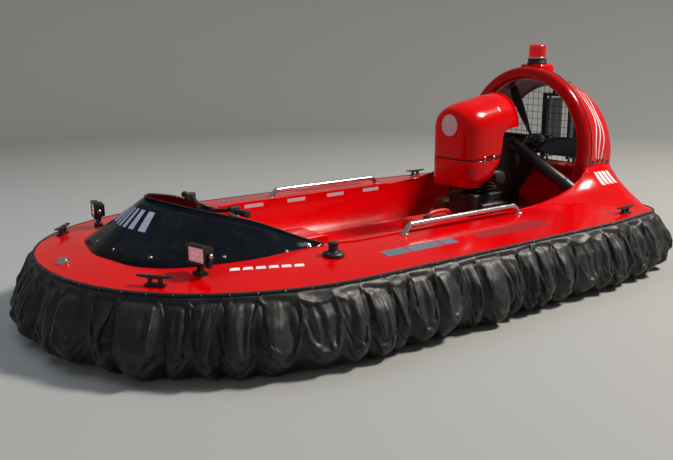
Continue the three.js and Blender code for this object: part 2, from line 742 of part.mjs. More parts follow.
// Columns: stations from and to, half width, bottom and top
const ENGINE_BOXES = [
  { piece: 'crankcase', from: ENGINE.from, to: 600, half: 125, low: ENGINE.low, high: ENGINE.caseTop },
  { piece: 'side covers', from: 310, to: 560, half: 165, low: 226, high: 370 },
  { piece: 'cylinder', ...CYLINDER, low: ENGINE.caseTop - 1, high: CYLINDER.top },
  { piece: 'head', from: 380, to: 500, half: 44, low: CYLINDER.top - 1, high: 750 },
  { piece: 'cowl bar', ...COWL_BAR, from: COWL_BAR.station - COWL_BAR.reach, to: COWL_BAR.station + COWL_BAR.reach },
  { piece: 'bar link', from: 510, to: COWL_BAR.station, half: 22, low: COWL_BAR.low, high: COWL_BAR.high },
];
const FINS = { count: 9, first: 446, pitch: 24, thick: 7, grow: 24 };

function engineBlock() {
  const parts = ENGINE_BOXES.map(({ from, to, half, low, high }) => box(at(from), at(to), -half, half, low, high));
  const reach = CYLINDER.half + FINS.grow;
  for (let i = 0; i < FINS.count; i += 1) {
    const z = FINS.first + i * FINS.pitch;
    parts.push(box(at(CYLINDER.from - FINS.grow), at(CYLINDER.to + FINS.grow), -reach, reach, z, z + FINS.thick));
  }
  return union(...parts);
}

// Engine bearers: two rails and cross plates on the cockpit floor
// Columns: stations from and to, and Y from and to
const BEARERS = [
  { from: 200, to: 660, left: -150, right: -110 },
  { from: 200, to: 660, left: 110, right: 150 },
  { from: 250, to: 300, left: -151, right: 151 },
  { from: 570, to: 620, left: -151, right: 151 },
];

function engineFrame() {
  return union(...BEARERS.map(({ from, to, left, right }) => (
    box(at(from), at(to), left, right, FLOOR_TOP + GAP, ENGINE.low - GAP))));
}

// Belt housing: the drive from the crankshaft up to the fan's shaft
function beltHousing() {
  const { low, headRadius, footRadius, armHalf, armLow, armHigh } = BELT;
  const shape = new THREE.Shape();
  shape.moveTo(-footRadius, low);
  shape.lineTo(-headRadius, DUCT.height);
  shape.absarc(0, DUCT.height, headRadius, Math.PI, 0, true);
  shape.lineTo(footRadius, low);
  shape.absarc(0, low, footRadius, 0, Math.PI, true);
  const cover = slabAcross(shape, at(BELT.from), at(BELT.to));
  return union(cover, box(at(BELT.to - 1), at(ENGINE.from) - GAP, -armHalf, armHalf, armLow, armHigh));
}

// Exhaust: a bent pipe from the cylinder into a drum beside the engine
const DRUM = {
  station: 400, y: -270, z: 285, half: 150, radius: 64, endRadius: 50, chamfer: 20, foot: 320, footHalf: 20,
};
const PIPE = { station: 440, radius: 19, steps: 12 };

function exhaust() {
  const { y: drumY, z: drumZ, half, radius, endRadius, chamfer, footHalf } = DRUM;
  const engineSide = CYLINDER.half + FINS.grow + GAP;
  const pipe = tube([
    v3(at(PIPE.station), -engineSide + 20, 560),
    v3(at(PIPE.station), -170, 556),
    v3(at(PIPE.station), -236, 500),
    v3(at(PIPE.station), drumY, 400),
    v3(at(PIPE.station), drumY, drumZ),
  ], PIPE.radius, PIPE.steps, 10);
  const shoulder = half - chamfer;
  const drum = turned([
    [0, -half], [endRadius, -half], [radius, -shoulder], [radius, shoulder], [endRadius, half], [0, half],
  ]).rotate([0, 90, 0]).translate([at(DRUM.station), drumY, drumZ]);
  const foot = box(
    at(DRUM.foot - footHalf), at(DRUM.foot + footHalf), drumY - 18, drumY + 18, FLOOR_TOP + GAP, drumZ - 40);
  return union(pipe, drum, foot).intersect(box(at(0), at(900), -700, -engineSide, 0, 900));
}

// Struts: fat black tubes from the belt housing's head out to the fairings
const STRUT = { radius: 40, from: [176, 84, 752], to: [128, 545, 490] };

function strut() {
  const start = v3(at(STRUT.from[0]), STRUT.from[1], STRUT.from[2]);
  const foot = v3(at(STRUT.to[0]), STRUT.to[1], STRUT.to[2]);
  const end = foot.clone().addScaledVector(foot.clone().sub(start).normalize(), 80);
  const body = straightTube(start, end, STRUT.radius, 14);
  return body.intersect(prism(cockpitOutline(-2 * GAP), FLOOR_TOP, 1000));
}

// Engine cowl: a hood over the engine, open below and behind
// Columns: station, half width, bottom edge, shoulder height and crown height
const COWL = [
  { station: 728, half: 104, low: 500, shoulder: 880, crown: 985 },
  { station: 722, half: 132, low: 498, shoulder: 880, crown: 1004 },
  { station: 708, half: 158, low: 498, shoulder: 880, crown: 1018 },
  { station: 684, half: 180, low: 500, shoulder: 880, crown: 1030 },
  { station: 650, half: 196, low: 508, shoulder: 880, crown: 1043 },
  { station: 600, half: 206, low: 528, shoulder: 880, crown: 1055 },
  { station: 540, half: 210, low: 562, shoulder: 880, crown: 1064 },
  { station: 470, half: 211, low: 655, shoulder: 880, crown: 1077 },
  { station: 440, half: 211, low: 757, shoulder: 880, crown: 1083 },
  { station: 418, half: 211, low: 859, shoulder: 880, crown: 1088 },
  { station: 285, half: 208, low: 886, shoulder: 888, crown: 1100 },
];
const COWL_ARC_STEPS = 16;
const COWL_SEAM = 682;
const COWL_WALL = 8;
const BADGE = { radius: 72, height: 903 };

function cowlSection({ station, half, low, shoulder, crown }, shrink, drop) {
  const points = [v3(at(station), half - shrink, low - drop)];
  for (let i = 0; i <= COWL_ARC_STEPS; i += 1) {
    const angle = (Math.PI * i) / COWL_ARC_STEPS;
    const y = (half - shrink) * Math.cos(angle);
    const z = shoulder + (crown - shrink - shoulder) * Math.sin(angle);
    points.push(v3(at(station), y, z));
  }
  points.push(v3(at(station), -(half - shrink), low - drop));
  return points;
}

function cowlShell() {
  const outer = loft(COWL.map((row) => cowlSection(row, 0, 0)));
  const innerRows = COWL.map((row, i) => {
    if (i === 0) return { ...row, station: row.station - COWL_WALL };
    if (i === 1) return { ...row, station: row.station - COWL_WALL * 0.8 };
    if (i === COWL.length - 1) return { ...row, station: row.station - 30 };
    return row;
  });
  const inner = loft(innerRows.map((row) => cowlSection(row, COWL_WALL, 120)));
  const rolled = loft(COWL.slice(-1).flatMap((row) => [
    cowlSection({ ...row, station: row.station + 14, half: row.half + 5, crown: row.crown + 5 }, 0, 4),
    cowlSection({ ...row, half: row.half + 5, crown: row.crown + 5 }, 0, 4),
  ]));
  return union(outer, rolled).subtract(inner);
}

const shell = cowlShell();
const cowlUpper = shell.intersect(box(at(100), at(900), -400, 400, COWL_SEAM + GAP, 1300));
const cowlLower = shell.intersect(box(at(100), at(900), -400, 400, 300, COWL_SEAM));

// A blank round badge on the cowl's front
function cowlBadge() {
  const { radius, height } = BADGE;
  return turned([[0, 0], [radius, 0], [radius, 2], [radius - 4, 3.5], [0, 3.5]], 32)
    .rotate([0, 90, 0]).translate([at(COWL[0].station) + GAP, 0, height]);
}

// Side rails: bent alloy tube on the coaming deck
const RAIL = { y: 674, radius: 16, aft: 800, fore: 1720, axis: 478 };

function sideRail() {
  const { y, radius, aft, fore, axis } = RAIL;
  const foot = DECK_TOP - 14;
  const body = tube([
    v3(at(aft), y, foot),
    v3(at(aft + 6), y, foot + 22),
    v3(at(aft + 40), y, axis - 6),
    v3(at(aft + 90), y, axis),
    v3(at((aft + fore) / 2), y, axis),
    v3(at(fore - 90), y, axis),
    v3(at(fore - 40), y, axis - 6),
    v3(at(fore - 6), y, foot + 22),
    v3(at(fore), y, foot),
  ], radius, 18, 8);
  const plates = [aft, fore].map((station) => (
    turned([[0, foot], [27, foot], [27, DECK_TOP + 4], [0, DECK_TOP + 4]], 16).translate([at(station), y, 0])));
  return seated(union(body, ...plates));
}

// Cleats: two horns on a pair of legs
const CLEAT = { length: 178, height: 42, width: 22, foot: 34, leg: 16, bar: 11 };
const CLEATS = [
  { name: 'cleat_bow_port', station: 3130, y: 622, turn: 130, deckZ: 396 },
  { name: 'cleat_bow_starboard', station: 3130, y: -622, turn: -130, deckZ: 396 },
  { name: 'cleat_stern_port', station: 140, y: 972, turn: 3, deckZ: 391 },
  { name: 'cleat_stern_starboard', station: 140, y: -972, turn: -3, deckZ: 391 },
];

function cleat() {
  const { length, height, width, foot, leg, bar } = CLEAT;
  const half = length / 2;
  const low = -12;
  const outline = new THREE.Shape();
  outline.moveTo(-foot, low);
  outline.lineTo(foot, low);
  outline.lineTo(foot, 6);
  outline.lineTo(foot - 4, height - bar);
  outline.lineTo(half - 4, height - 4);
  outline.quadraticCurveTo(half + 3, height + 1, half - 5, height + 3);
  outline.lineTo(foot, height + 2);
  outline.lineTo(-foot, height + 2);
  outline.lineTo(5 - half, height + 3);
  outline.quadraticCurveTo(-half - 3, height + 1, 4 - half, height - 4);
  outline.lineTo(4 - foot, height - bar);
  outline.lineTo(-foot, 6);
  const slot = new THREE.Path([
    new THREE.Vector2(leg - foot, 10), new THREE.Vector2(leg - foot, height - bar - 2),
    new THREE.Vector2(foot - leg, height - bar - 2), new THREE.Vector2(foot - leg, 10),
  ]);
  outline.holes.push(slot);
  const plate = box(-foot - 14, foot + 14, -18, 18, low, 6);
  return union(slabAlong(outline, width), plate);
}

// Work lamps on brackets beside the windscreen, lenses towards the bow
const LAMP = { station: 2918, y: 640, half: 64, height: 88, depth: 44, low: 462, turn: 12 };
const LAMP_TOP = LAMP.low + LAMP.height;
// Columns: front and back reach, half width, bottom and top
const LAMP_BOXES = [
  { piece: 'face', back: -9, front: 22, half: LAMP.half, low: LAMP.low, high: LAMP_TOP },
  { piece: 'body', back: -22, front: -8, half: LAMP.half - 8, low: LAMP.low + 8, high: LAMP_TOP - 8 },
  { piece: 'yoke foot', back: -9, front: 9, half: LAMP.half + 11.5, low: LAMP.low - 11, high: LAMP.low - 6 },
  { piece: 'pivot', back: -6, front: 6, half: LAMP.half + 7, low: LAMP.low + 38, high: LAMP.low + 50 },
  { piece: 'post', back: -11, front: 11, half: 11, low: 380, high: LAMP.low - 8 },
  { piece: 'base', back: -22, front: 22, half: 30, low: 380, high: 427 },
];
const LAMP_ARM = { reach: 9, inner: LAMP.half + 6, outer: LAMP.half + 11.5, low: LAMP.low - 11, high: LAMP.low + 54 };
const LAMP_FINS = { pitch: 12, half: 2, each: 4 };
const LAMP_RECESS = { deep: 6, proud: 10, border: 7 };

function lamp() {
  const { half, depth, low } = LAMP;
  const parts = LAMP_BOXES.map((row) => box(row.back, row.front, -row.half, row.half, row.low, row.high));
  [-1, 1].forEach((side) => {
    const ends = [side * LAMP_ARM.inner, side * LAMP_ARM.outer];
    const { reach, low: armLow, high: armHigh } = LAMP_ARM;
    parts.push(box(-reach, reach, Math.min(...ends), Math.max(...ends), armLow, armHigh));
  });
  for (let i = -LAMP_FINS.each; i <= LAMP_FINS.each; i += 1) {
    const middle = i * LAMP_FINS.pitch;
    const [left, right] = [middle - LAMP_FINS.half, middle + LAMP_FINS.half];
    parts.push(box(-depth * 0.5 - 10, -depth * 0.4, left, right, low + 12, LAMP_TOP - 12));
  }
  const { deep, proud, border } = LAMP_RECESS;
  const [back, front] = [depth * 0.5 - deep, depth * 0.5 + proud];
  return union(...parts).subtract(box(back, front, -half + border, half - border, low + border, LAMP_TOP - border));
}

function placedLamp(side) {
  const { station, y, turn } = LAMP;
  return seated(lamp().rotate([0, 0, side * turn]).translate([at(station), side * y, 0]));
}

// Bow light, deck socket and the beacon on top of the duct
const BOW_LIGHT = { station: 3330, radius: 29 };
const SOCKET = { station: 2260, y: 762 };
const BEACON = { station: -132, pedestalTop: 1289, baseTop: 1333, domeTop: 1427, half: 84, length: 130 };

function bowLight() {
  const { station, radius } = BOW_LIGHT;
  const profile = [[0, 376], [radius + 5, 376], [radius + 5, 400], [radius, 405]];
  for (let i = 1; i <= 5; i += 1) {
    const angle = (Math.PI / 2) * (i / 5);
    profile.push([i === 5 ? 0 : radius * Math.cos(angle), 405 + 20 * Math.sin(angle)]);
  }
  return seated(turned(profile, 24).translate([at(station), 0, 0]));
}

function deckSocket() {
  return seated(turned([
    [0, 400], [55, 400], [55, 428], [48, 436], [27, 440], [24, 446], [24, 474], [28, 476], [28, 486], [0, 486],
  ], 24).translate([at(SOCKET.station), SOCKET.y, 0]));
}

function beaconPedestal() {
  const { station, pedestalTop, half, length } = BEACON;
  const skirt = half + 16;
  const shoulder = pedestalTop - 24;
  const outline = new THREE.Shape();
  outline.moveTo(-skirt, DUCT.height + 440);
  outline.lineTo(skirt, DUCT.height + 440);
  outline.lineTo(skirt, shoulder);
  outline.lineTo(half, pedestalTop);
  outline.lineTo(-half, pedestalTop);
  outline.lineTo(-skirt, shoulder);
  return slabAcross(outline, at(station - length / 2), at(station + length / 2))
    .subtract(ductForm('outer', GAP))
    .subtract(spindle(DUCT.lipOuter + GAP, DUCT.lipBack - GAP, 1, DUCT.facets));
}

function beaconBase() {
  const { station, pedestalTop, baseTop } = BEACON;
  const low = pedestalTop + GAP;
  return turned([
    [0, low], [70, low], [70, low + 10], [65, low + 16], [65, baseTop - 8], [63, baseTop], [0, baseTop],
  ], 28).translate([at(station), 0, 0]);
}

function beaconDome() {
  const { station, baseTop, domeTop } = BEACON;
  const low = baseTop + GAP;
  return turned([
    [0, low], [62, low], [62, low + 10], [58, low + 12], [57, domeTop - 26], [50, domeTop - 8], [38, domeTop],
    [0, domeTop],
  ], 28).translate([at(station), 0, 0]);
}

// Fuel tank with a moulded handle, beside the engine
const TANK = { from: 850, to: 1200, y0: 55, y1: 345, top: 352 };

function fuelTank() {
  const { from, to, y0, y1, top } = TANK;
  const low = FLOOR_TOP + GAP;
  const round = 30;
  const outline = new THREE.Shape();
  outline.moveTo(at(from + round), y0);
  outline.lineTo(at(to - round), y0);
  outline.quadraticCurveTo(at(to), y0, at(to), y0 + round);
  outline.lineTo(at(to), y1 - round);
  outline.quadraticCurveTo(at(to), y1, at(to - round), y1);
  outline.lineTo(at(from + round), y1);
  outline.quadraticCurveTo(at(from), y1, at(from), y1 - round);
  outline.lineTo(at(from), y0 + round);
  outline.quadraticCurveTo(at(from), y0, at(from + round), y0);
  const options = { depth: top - low, bevelEnabled: false, curveSegments: 4 };
  const geometry = new THREE.ExtrudeGeometry(outline, options);
  geometry.translate(0, 0, low);
  const middle = (y0 + y1) / 2;
  const handle = tube([
    v3(at(from + 60), middle, top - 8), v3(at(from + 66), middle, top + 26), v3(at(from + 110), middle, top + 36),
    v3(at(to - 150), middle, top + 36), v3(at(to - 106), middle, top + 26), v3(at(to - 100), middle, top - 8),
  ], 13, 12, 10);
  const neck = turned([[0, top - 2], [30, top - 2], [30, top + 8], [0, top + 8]], 18)
    .translate([at(to - 52), middle + 60, 0]);
  return union(solid(geometry), handle, neck);
}

function fuelCap() {
  const { to, y0, y1, top } = TANK;
  const low = top + 8 + GAP;
  return turned([[0, low], [34, low], [34, low + 22], [28, low + 26], [0, low + 26]], 18)
    .translate([at(to - 52), (y0 + y1) / 2 + 60, 0]);
}

// Steering: a raked column on the console, and the handlebar that turns on it
const COLUMN = { foot: [2632, 345], head: [2566, 538], radius: 24 };
const GRIP = { inner: 236, outer: 362, radius: 17, station: 2500, height: 588 };

function steeringColumn() {
  const { foot, head, radius } = COLUMN;
  const low = v3(at(foot[0] + 8), 0, foot[1] - 24);
  const high = v3(at(head[0]), 0, head[1]);
  return straightTube(low, high, radius, 16).subtract(consoleBox().translate([0, 0, GAP]));
}

// Columns: station, Y and height, from the middle of the bar to just past the grip's start
const BAR_HALF = [
  [2560, 0, 560],
  [2560, 52, 560],
  [2546, 96, 570],
  [2522, 190, 584],
  [2511, GRIP.inner + 12, 586],
];

function handlebar() {
  const port = BAR_HALF.map(([station, y, z]) => v3(at(station), y, z));
  const starboard = port.slice(1).reverse().map((p) => v3(p.x, -p.y, p.z));
  const bar = tube([...starboard, ...port], 12, 22, 8)
    .intersect(box(at(2400), at(2700), -GRIP.inner, GRIP.inner, 400, 800));
  const { foot, head } = COLUMN;
  const rake = v3(head[0] - foot[0], 0, head[1] - foot[1]).normalize();
  const low = v3(at(head[0]), 0, head[1]).addScaledVector(rake, 0.5);
  const clamp = straightTube(low, low.clone().addScaledVector(rake, 46), 30, 16);
  const pad = box(-34, 34, -48, 48, 0, 12);
  const lean = THREE.MathUtils.radToDeg(Math.atan2(rake.x, rake.z));
  const top = low.clone().addScaledVector(rake, 40);
  return union(bar, clamp, pad.rotate([0, lean, 0]).translate([top.x, top.y, top.z]));
}

// A grip with its control housing inboard, and a lever in front of it
function grip(side) {
  const inner = v3(at(2513), side * (GRIP.inner - 10), 586);
  const outer = v3(at(GRIP.station), side * GRIP.outer, GRIP.height);
  const along = outer.clone().sub(inner).normalize();
  const body = straightTube(inner, outer, GRIP.radius, 12);
  const flange = straightTube(inner, inner.clone().addScaledVector(along, 18), 24, 12);
  const ball = new THREE.SphereGeometry(33, 14, 8);
  ball.translate(at(2516), side * 250, 590);
  const leverStart = v3(at(2530), side * 250, 590);
  const lever = tube([
    leverStart, v3(at(2556), side * 272, 586), v3(at(2552), side * 350, 582),
  ], 6, 6, 6);
  const edge = side * (GRIP.inner + GAP);
  const stop = box(at(2400), at(2700), Math.min(edge, -side * 500), Math.max(edge, -side * 500), 400, 800);
  return union(body, flange, solid(ball), lever).subtract(stop);
}

// The craft
function material(colour, roughness, metalness = 0, opacity = 1) {
  return new THREE.MeshStandardMaterial({
    color: colour, roughness, metalness, opacity, transparent: opacity < 1,
  });
}

const gelcoat = material(COLOURS.gelcoat, 0.18);
const black = material(COLOURS.black, 0.4);
const plastic = material(COLOURS.blackPlastic, 0.5);
const fabric = material(COLOURS.fabric, 0.6);
const alloy = material(COLOURS.alloy, 0.3, 1);

const hovercraft = new THREE.Group();

function add(name, body, look) {
  const mesh = new THREE.Mesh(geometryOf(body), look);
  mesh.name = name;
  hovercraft.add(mesh);
}

add('lower_hull', lowerHull(), gelcoat);
add('cockpit_tub', cockpitTub(), material(COLOURS.tubRed, 0.25));
add('deck_moulding', deck, gelcoat);
add('rub_rail', rubRail(), material(COLOURS.rubber, 0.6));
SKIRT_RUNS.forEach(({ name, from, to }) => add(name, skirtRun(from, to), fabric));
SKIDS.forEach(({ name, y }) => add(name, skid().translate([0, y, 0]), plastic));
add('console', consoleBox(), material(COLOURS.tubRed, 0.25));
add('windscreen', windscreen(), material(COLOURS.tint, 0.08, 0, 0.85));
add('duct_lip', ductLip(), gelcoat);
add('duct_shell', ductShell(), gelcoat);
add('lift_splitter', liftSplitter(), gelcoat);
add('duct_guard', ductGuard(), black);
add('fan_beam', fanBeam(), black);
add('fan', fan(), plastic);
add('rudder_frame', rudderFrame(), black);
add('rudder_port', rudder(1), black);
add('rudder_starboard', rudder(-1), black);
add('engine_block', engineBlock(), material(COLOURS.engine, 0.5, 0.6));
add('engine_frame', engineFrame(), black);
add('belt_housing', beltHousing(), plastic);
add('exhaust', exhaust(), material(COLOURS.engine, 0.5, 0.6));
add('strut_port', strut(), plastic);
add('strut_starboard', mirrored(strut()), plastic);
add('cowl_upper', cowlUpper, gelcoat);
add('cowl_lower', cowlLower, gelcoat);
add('cowl_badge', cowlBadge(), material(COLOURS.badge, 0.4));
add('side_rail_port', sideRail(), alloy);
add('side_rail_starboard', mirrored(sideRail()), alloy);
CLEATS.forEach(({ name, station, y, turn, deckZ }) => {
  add(name, seated(cleat().rotate([0, 0, turn]).translate([at(station), y, deckZ])), plastic);
});
add('lamp_port', placedLamp(1), plastic);
add('lamp_starboard', placedLamp(-1), plastic);
add('bow_light', bowLight(), material(COLOURS.chrome, 0.1, 1));
add('deck_socket', deckSocket(), plastic);
add('beacon_pedestal', beaconPedestal(), gelcoat);
add('beacon_base', beaconBase(), plastic);
add('beacon_dome', beaconDome(), material(COLOURS.beaconRed, 0.15, 0, 0.85));
add('fuel_tank', fuelTank(), material(COLOURS.tank, 0.4));
add('fuel_cap', fuelCap(), plastic);
add('steering_column', steeringColumn(), black);
add('handlebar', handlebar(), black);
add('grip_port', grip(1), material(COLOURS.rubber, 0.6));
add('grip_starboard', grip(-1), material(COLOURS.rubber, 0.6));

export default hovercraft;
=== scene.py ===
"""A light rescue hovercraft, dressed for the render: one operator for each piece of the craft."""

import bisect
import math

import bmesh
import bpy
from bpy.props import FloatProperty, FloatVectorProperty, IntProperty, PointerProperty
from mathutils import Matrix, Vector, noise
from mathutils.bvhtree import BVHTree


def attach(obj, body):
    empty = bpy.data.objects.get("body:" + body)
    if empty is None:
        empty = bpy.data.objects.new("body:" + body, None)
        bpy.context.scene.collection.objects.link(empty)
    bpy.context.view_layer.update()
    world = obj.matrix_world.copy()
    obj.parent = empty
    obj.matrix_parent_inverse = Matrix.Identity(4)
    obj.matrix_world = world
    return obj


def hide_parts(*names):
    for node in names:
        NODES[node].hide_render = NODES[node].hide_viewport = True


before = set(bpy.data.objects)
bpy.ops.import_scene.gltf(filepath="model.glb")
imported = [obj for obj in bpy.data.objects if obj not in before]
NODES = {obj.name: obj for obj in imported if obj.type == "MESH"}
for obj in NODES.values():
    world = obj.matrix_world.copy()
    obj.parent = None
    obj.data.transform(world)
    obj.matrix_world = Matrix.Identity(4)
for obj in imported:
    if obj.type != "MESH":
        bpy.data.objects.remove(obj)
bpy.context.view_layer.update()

bl_info = {
    "name": "Rescue hovercraft",
    "version": (1, 0, 0),
    "blender": (4, 5, 0),
    "location": "3D View > Sidebar > Hovercraft",
    "description": "Builds the pieces and finishes of a light rescue hovercraft",
    "category": "Object",
}

# Lengths below are in millimetres along the craft, counted from the duct lip's front plane towards the bow
STATION_ZERO = -1480


def at(station, y=0.0, z=0.0):
    """A point in metres from a station, a width and a height in millimetres."""
    return Vector(((station + STATION_ZERO) / 1000, y / 1000, z / 1000))


def linear(hex_colour):
    """An sRGB hex colour as the linear values that shaders take."""
    values = []
    for i in (1, 3, 5):
        c = int(hex_colour[i:i + 2], 16) / 255
        values.append(c / 12.92 if c <= 0.04045 else ((c + 0.055) / 1.055) ** 2.4)
    return (*values, 1.0)


# Settings that a user would change

class HovercraftColours(bpy.types.PropertyGroup):
    """Colours of the craft's finishes."""

    def colour(name, description, hex_colour):
        return FloatVectorProperty(name=name, description=description, subtype="COLOR", size=4,
                                   min=0.0, max=1.0, default=linear(hex_colour))

    gelcoat: colour("Gelcoat", "Outer mouldings: deck, duct and cowl", "#bb0005")
    tub: colour("Tub", "Inner mouldings: cockpit and console", "#c60106")
    fabric: colour("Skirt fabric", "Coated fabric of the skirt's segments", "#111214")
    tint: colour("Windscreen tint", "Tinted plastic sheet", "#0b1016")
    tank: colour("Fuel tank", "Blow-moulded tank", "#a80e0c")
    beacon: colour("Beacon", "Lens of the beacon", "#c80a06")


class HovercraftSizes(bpy.types.PropertyGroup):
    """Sizes of the soft skirt and of the guard's mesh."""

    segment_pitch: FloatProperty(name="Segment pitch", description="Width of one skirt segment along the rim",
                                 default=0.150, min=0.08, max=0.3, subtype="DISTANCE", unit="LENGTH")
    skirt_fullness: FloatProperty(name="Skirt fullness", description="Spare fabric per segment, as a share",
                                  default=0.30, min=0.0, max=0.5, subtype="FACTOR")
    mesh_pitch: FloatProperty(name="Mesh pitch", description="Distance between the guard's wires",
                              default=0.050, min=0.02, max=0.1, subtype="DISTANCE", unit="LENGTH")
    facets: IntProperty(name="Facets", description="Faces round the duct's skins",
                        default=128, min=48, max=256)


def settings():
    """The sizes that a user can change."""
    return bpy.context.scene.hovercraft_sizes


def colours():
    """The colours that a user can change."""
    return bpy.context.scene.hovercraft_colours


# Mesh helpers

def piece(name, bm, finishes, node=None, body="hull", sharp=35.0, keep_normals=False):
    """Turns a bmesh into a finished piece that rides on a body, smooth apart from its sharp edges.
    It can stand in for a CAD node."""
    bmesh.ops.remove_doubles(bm, verts=bm.verts, dist=0.00002)
    if not keep_normals:
        bmesh.ops.recalc_face_normals(bm, faces=bm.faces)
    mesh = bpy.data.meshes.new(name)
    bm.to_mesh(mesh)
    bm.free()
    mesh.shade_smooth()
    mesh.set_sharp_from_angle(angle=math.radians(sharp))
    obj = bpy.data.objects.new(name, mesh)
    bpy.context.scene.collection.objects.link(obj)
    finishes = finishes.split()
    for one in finishes:
        mesh.materials.append(finish(one))
    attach(obj, body)
    if node:
        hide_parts(node)
    return obj


def thicken(obj, label, thickness, node, even=False):
    """Gives an open sheet its thickness, inwards, before it stands in for a CAD node."""
    wall = obj.modifiers.new(label, "SOLIDIFY")
    wall.thickness, wall.offset, wall.use_even_offset = thickness, -1.0, even
    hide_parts(node)


def moved(bm, verts, turn, place):
    """Turns vertices about the origin and carries them to a place."""
    bmesh.ops.rotate(bm, verts=verts, cent=(0, 0, 0), matrix=turn)
    bmesh.ops.translate(bm, verts=verts, vec=place)


def circle(count, start=0.0):
    """Angles of a full turn in even steps."""
    return [math.tau * k / count + start for k in range(count)]


def polar(angle, radius, height=0.0):
    """A step from an upright axis: an angle, a radius and a height in metres."""
    return Vector((radius * math.cos(angle), radius * math.sin(angle), height))


def bevel(bm, edges, width, segments=2):
    """Rounds edges and returns the new vertices."""
    return bmesh.ops.bevel(bm, geom=list(edges), offset=width, offset_type="OFFSET", segments=segments,
                           affect="EDGES", profile=0.5, material=-1, clamp_overlap=True)["verts"]


def add_box(bm, low, high, edge=0.0, segments=2):
    """A box between two corners, with rounded edges."""
    made = bmesh.ops.create_cube(bm, size=1.0)["verts"]
    low, high = Vector(low), Vector(high)
    middle = (low + high) / 2
    bmesh.ops.scale(bm, verts=made, vec=high - low)
    if edge:
        made = island(bevel(bm, {e for v in made for e in v.link_edges}, edge, segments))
    bmesh.ops.translate(bm, verts=made, vec=middle)
    return made


def island(verts):
    """Every vertex joined to the ones given that are still in the mesh."""
    todo = [v for v in verts if v.is_valid]
    if not todo:
        raise RuntimeError("the shape has no vertices left")
    seen = set(todo)
    while todo:
        for edge in todo.pop().link_edges:
            for v in edge.verts:
                if v not in seen:
                    seen.add(v)
                    todo.append(v)
    return list(seen)


def add_rod(bm, start, end, radius, sides=12, edge=0.0):
    """A bar between two points, closed at both ends: round, or hexagonal with six sides."""
    start, end = Vector(start), Vector(end)
    length = (end - start).length
    made = bmesh.ops.create_cone(bm, cap_ends=True, segments=sides, radius1=radius, radius2=radius,
                                 depth=length)["verts"]
    if edge:
        rims = {e for v in made for e in v.link_edges if abs(e.verts[0].co.z - e.verts[1].co.z) < 1e-7}
        made = island(bevel(bm, rims, edge))
    moved(bm, made, (end - start).to_track_quat("Z", "Y").to_matrix(), (start + end) / 2)


def add_spin(bm, profile, centre, axis=(0, 0, 1), steps=32, side=None):
    """Turns a profile of (radius, height) rows about an axis through a point."""
    axis = Vector(axis).normalized()
    side = Vector(side) if side else axis.orthogonal().normalized()
    centre = Vector(centre)
    verts = [bm.verts.new(centre + side * r + axis * h) for r, h in profile]
    edges = [bm.edges.new(pair) for pair in zip(verts, verts[1:])]
    bmesh.ops.spin(bm, geom=verts + edges, cent=centre, axis=axis, angle=math.tau, steps=steps,
                   use_merge=True, use_duplicate=False)
    bmesh.ops.remove_doubles(bm, verts=island(verts), dist=0.00001)


def add_loft(bm, rings, closed=True, caps=False):
    """Skins rings of points: the first ring's edges are extruded from ring to ring."""
    current = [bm.verts.new(p) for p in rings[0]]
    out = list(current)
    pairs = list(zip(current, current[1:])) + ([(current[-1], current[0])] if closed else [])
    edges = [bm.edges.new(pair) for pair in pairs]
    for ring in rings[1:]:
        made = bmesh.ops.extrude_edge_only(bm, edges=edges)["geom"]
        fresh = {v for v in made if isinstance(v, bmesh.types.BMVert)}
        edges = [e for e in made if isinstance(e, bmesh.types.BMEdge) and fresh.issuperset(e.verts)]
        current = [next(e.other_vert(v) for e in v.link_edges if e.other_vert(v) in fresh) for v in current]
        for v, p in zip(current, ring):
            v.co = p
        out.extend(current)
    if caps:
        bm.faces.new(out[:len(rings[0])])
        bm.faces.new(current)
    return out


def smooth_path(points, steps):
    """A Catmull-Rom curve through points, with even steps between each two."""
    points = [Vector(p) for p in points]
    ends = [points[0] * 2 - points[1], *points, points[-1] * 2 - points[-2]]
    out = []
    for i in range(1, len(ends) - 2):
        a, b, c, d = ends[i - 1:i + 3]
        for k in range(steps):
            t = k / steps
            out.append(0.5 * ((2 * b) + (c - a) * t + (2 * a - 5 * b + 4 * c - d) * t * t
                              + (3 * b - a - 3 * c + d) * t ** 3))
    out.append(points[-1])
    return out


def add_tube(bm, path, radius, sides=12, closed=False):
    """A round tube along a path: one ring extruded from point to point."""
    path = [Vector(p) for p in path]
    count = len(path)
    rings = []
    normal = None
    for i, p in enumerate(path):
        before = path[i - 1] if i or closed else p
        after = path[(i + 1) % count] if i < count - 1 or closed else p
        along = (after - before).normalized()
        if normal is None:
            normal = along.orthogonal().normalized()
        normal = (normal - along * normal.dot(along)).normalized()
        other = along.cross(normal)
        r = radius[i] if isinstance(radius, (list, tuple)) else radius
        rings.append([p + (normal * math.cos(a) + other * math.sin(a)) * r for a in circle(sides)])
    if closed:
        rings.append(rings[0])
    add_loft(bm, rings, caps=not closed)


def add_screw(bm, place, direction, radius=0.005, height=0.0022):
    """A domed screw head with its drive hole left as a dimple."""
    profile = [(0.0, height * 0.55), (radius * 0.38, height * 0.55), (radius * 0.42, height),
               (radius * 0.8, height * 0.75), (radius, 0.0), (radius, -height), (0.0, -height)]
    add_spin(bm, profile, place, direction, steps=12)


def surface_of(*nodes):
    """A tree of the CAD nodes' faces, to set things down on them."""
    verts, faces = [], []
    for node in nodes:
        mesh = NODES[node].data
        start = len(verts)
        verts.extend(v.co.copy() for v in mesh.vertices)
        faces.extend([tuple(i + start for i in p.vertices) for p in mesh.polygons])
    return BVHTree.FromPolygons(verts, faces)


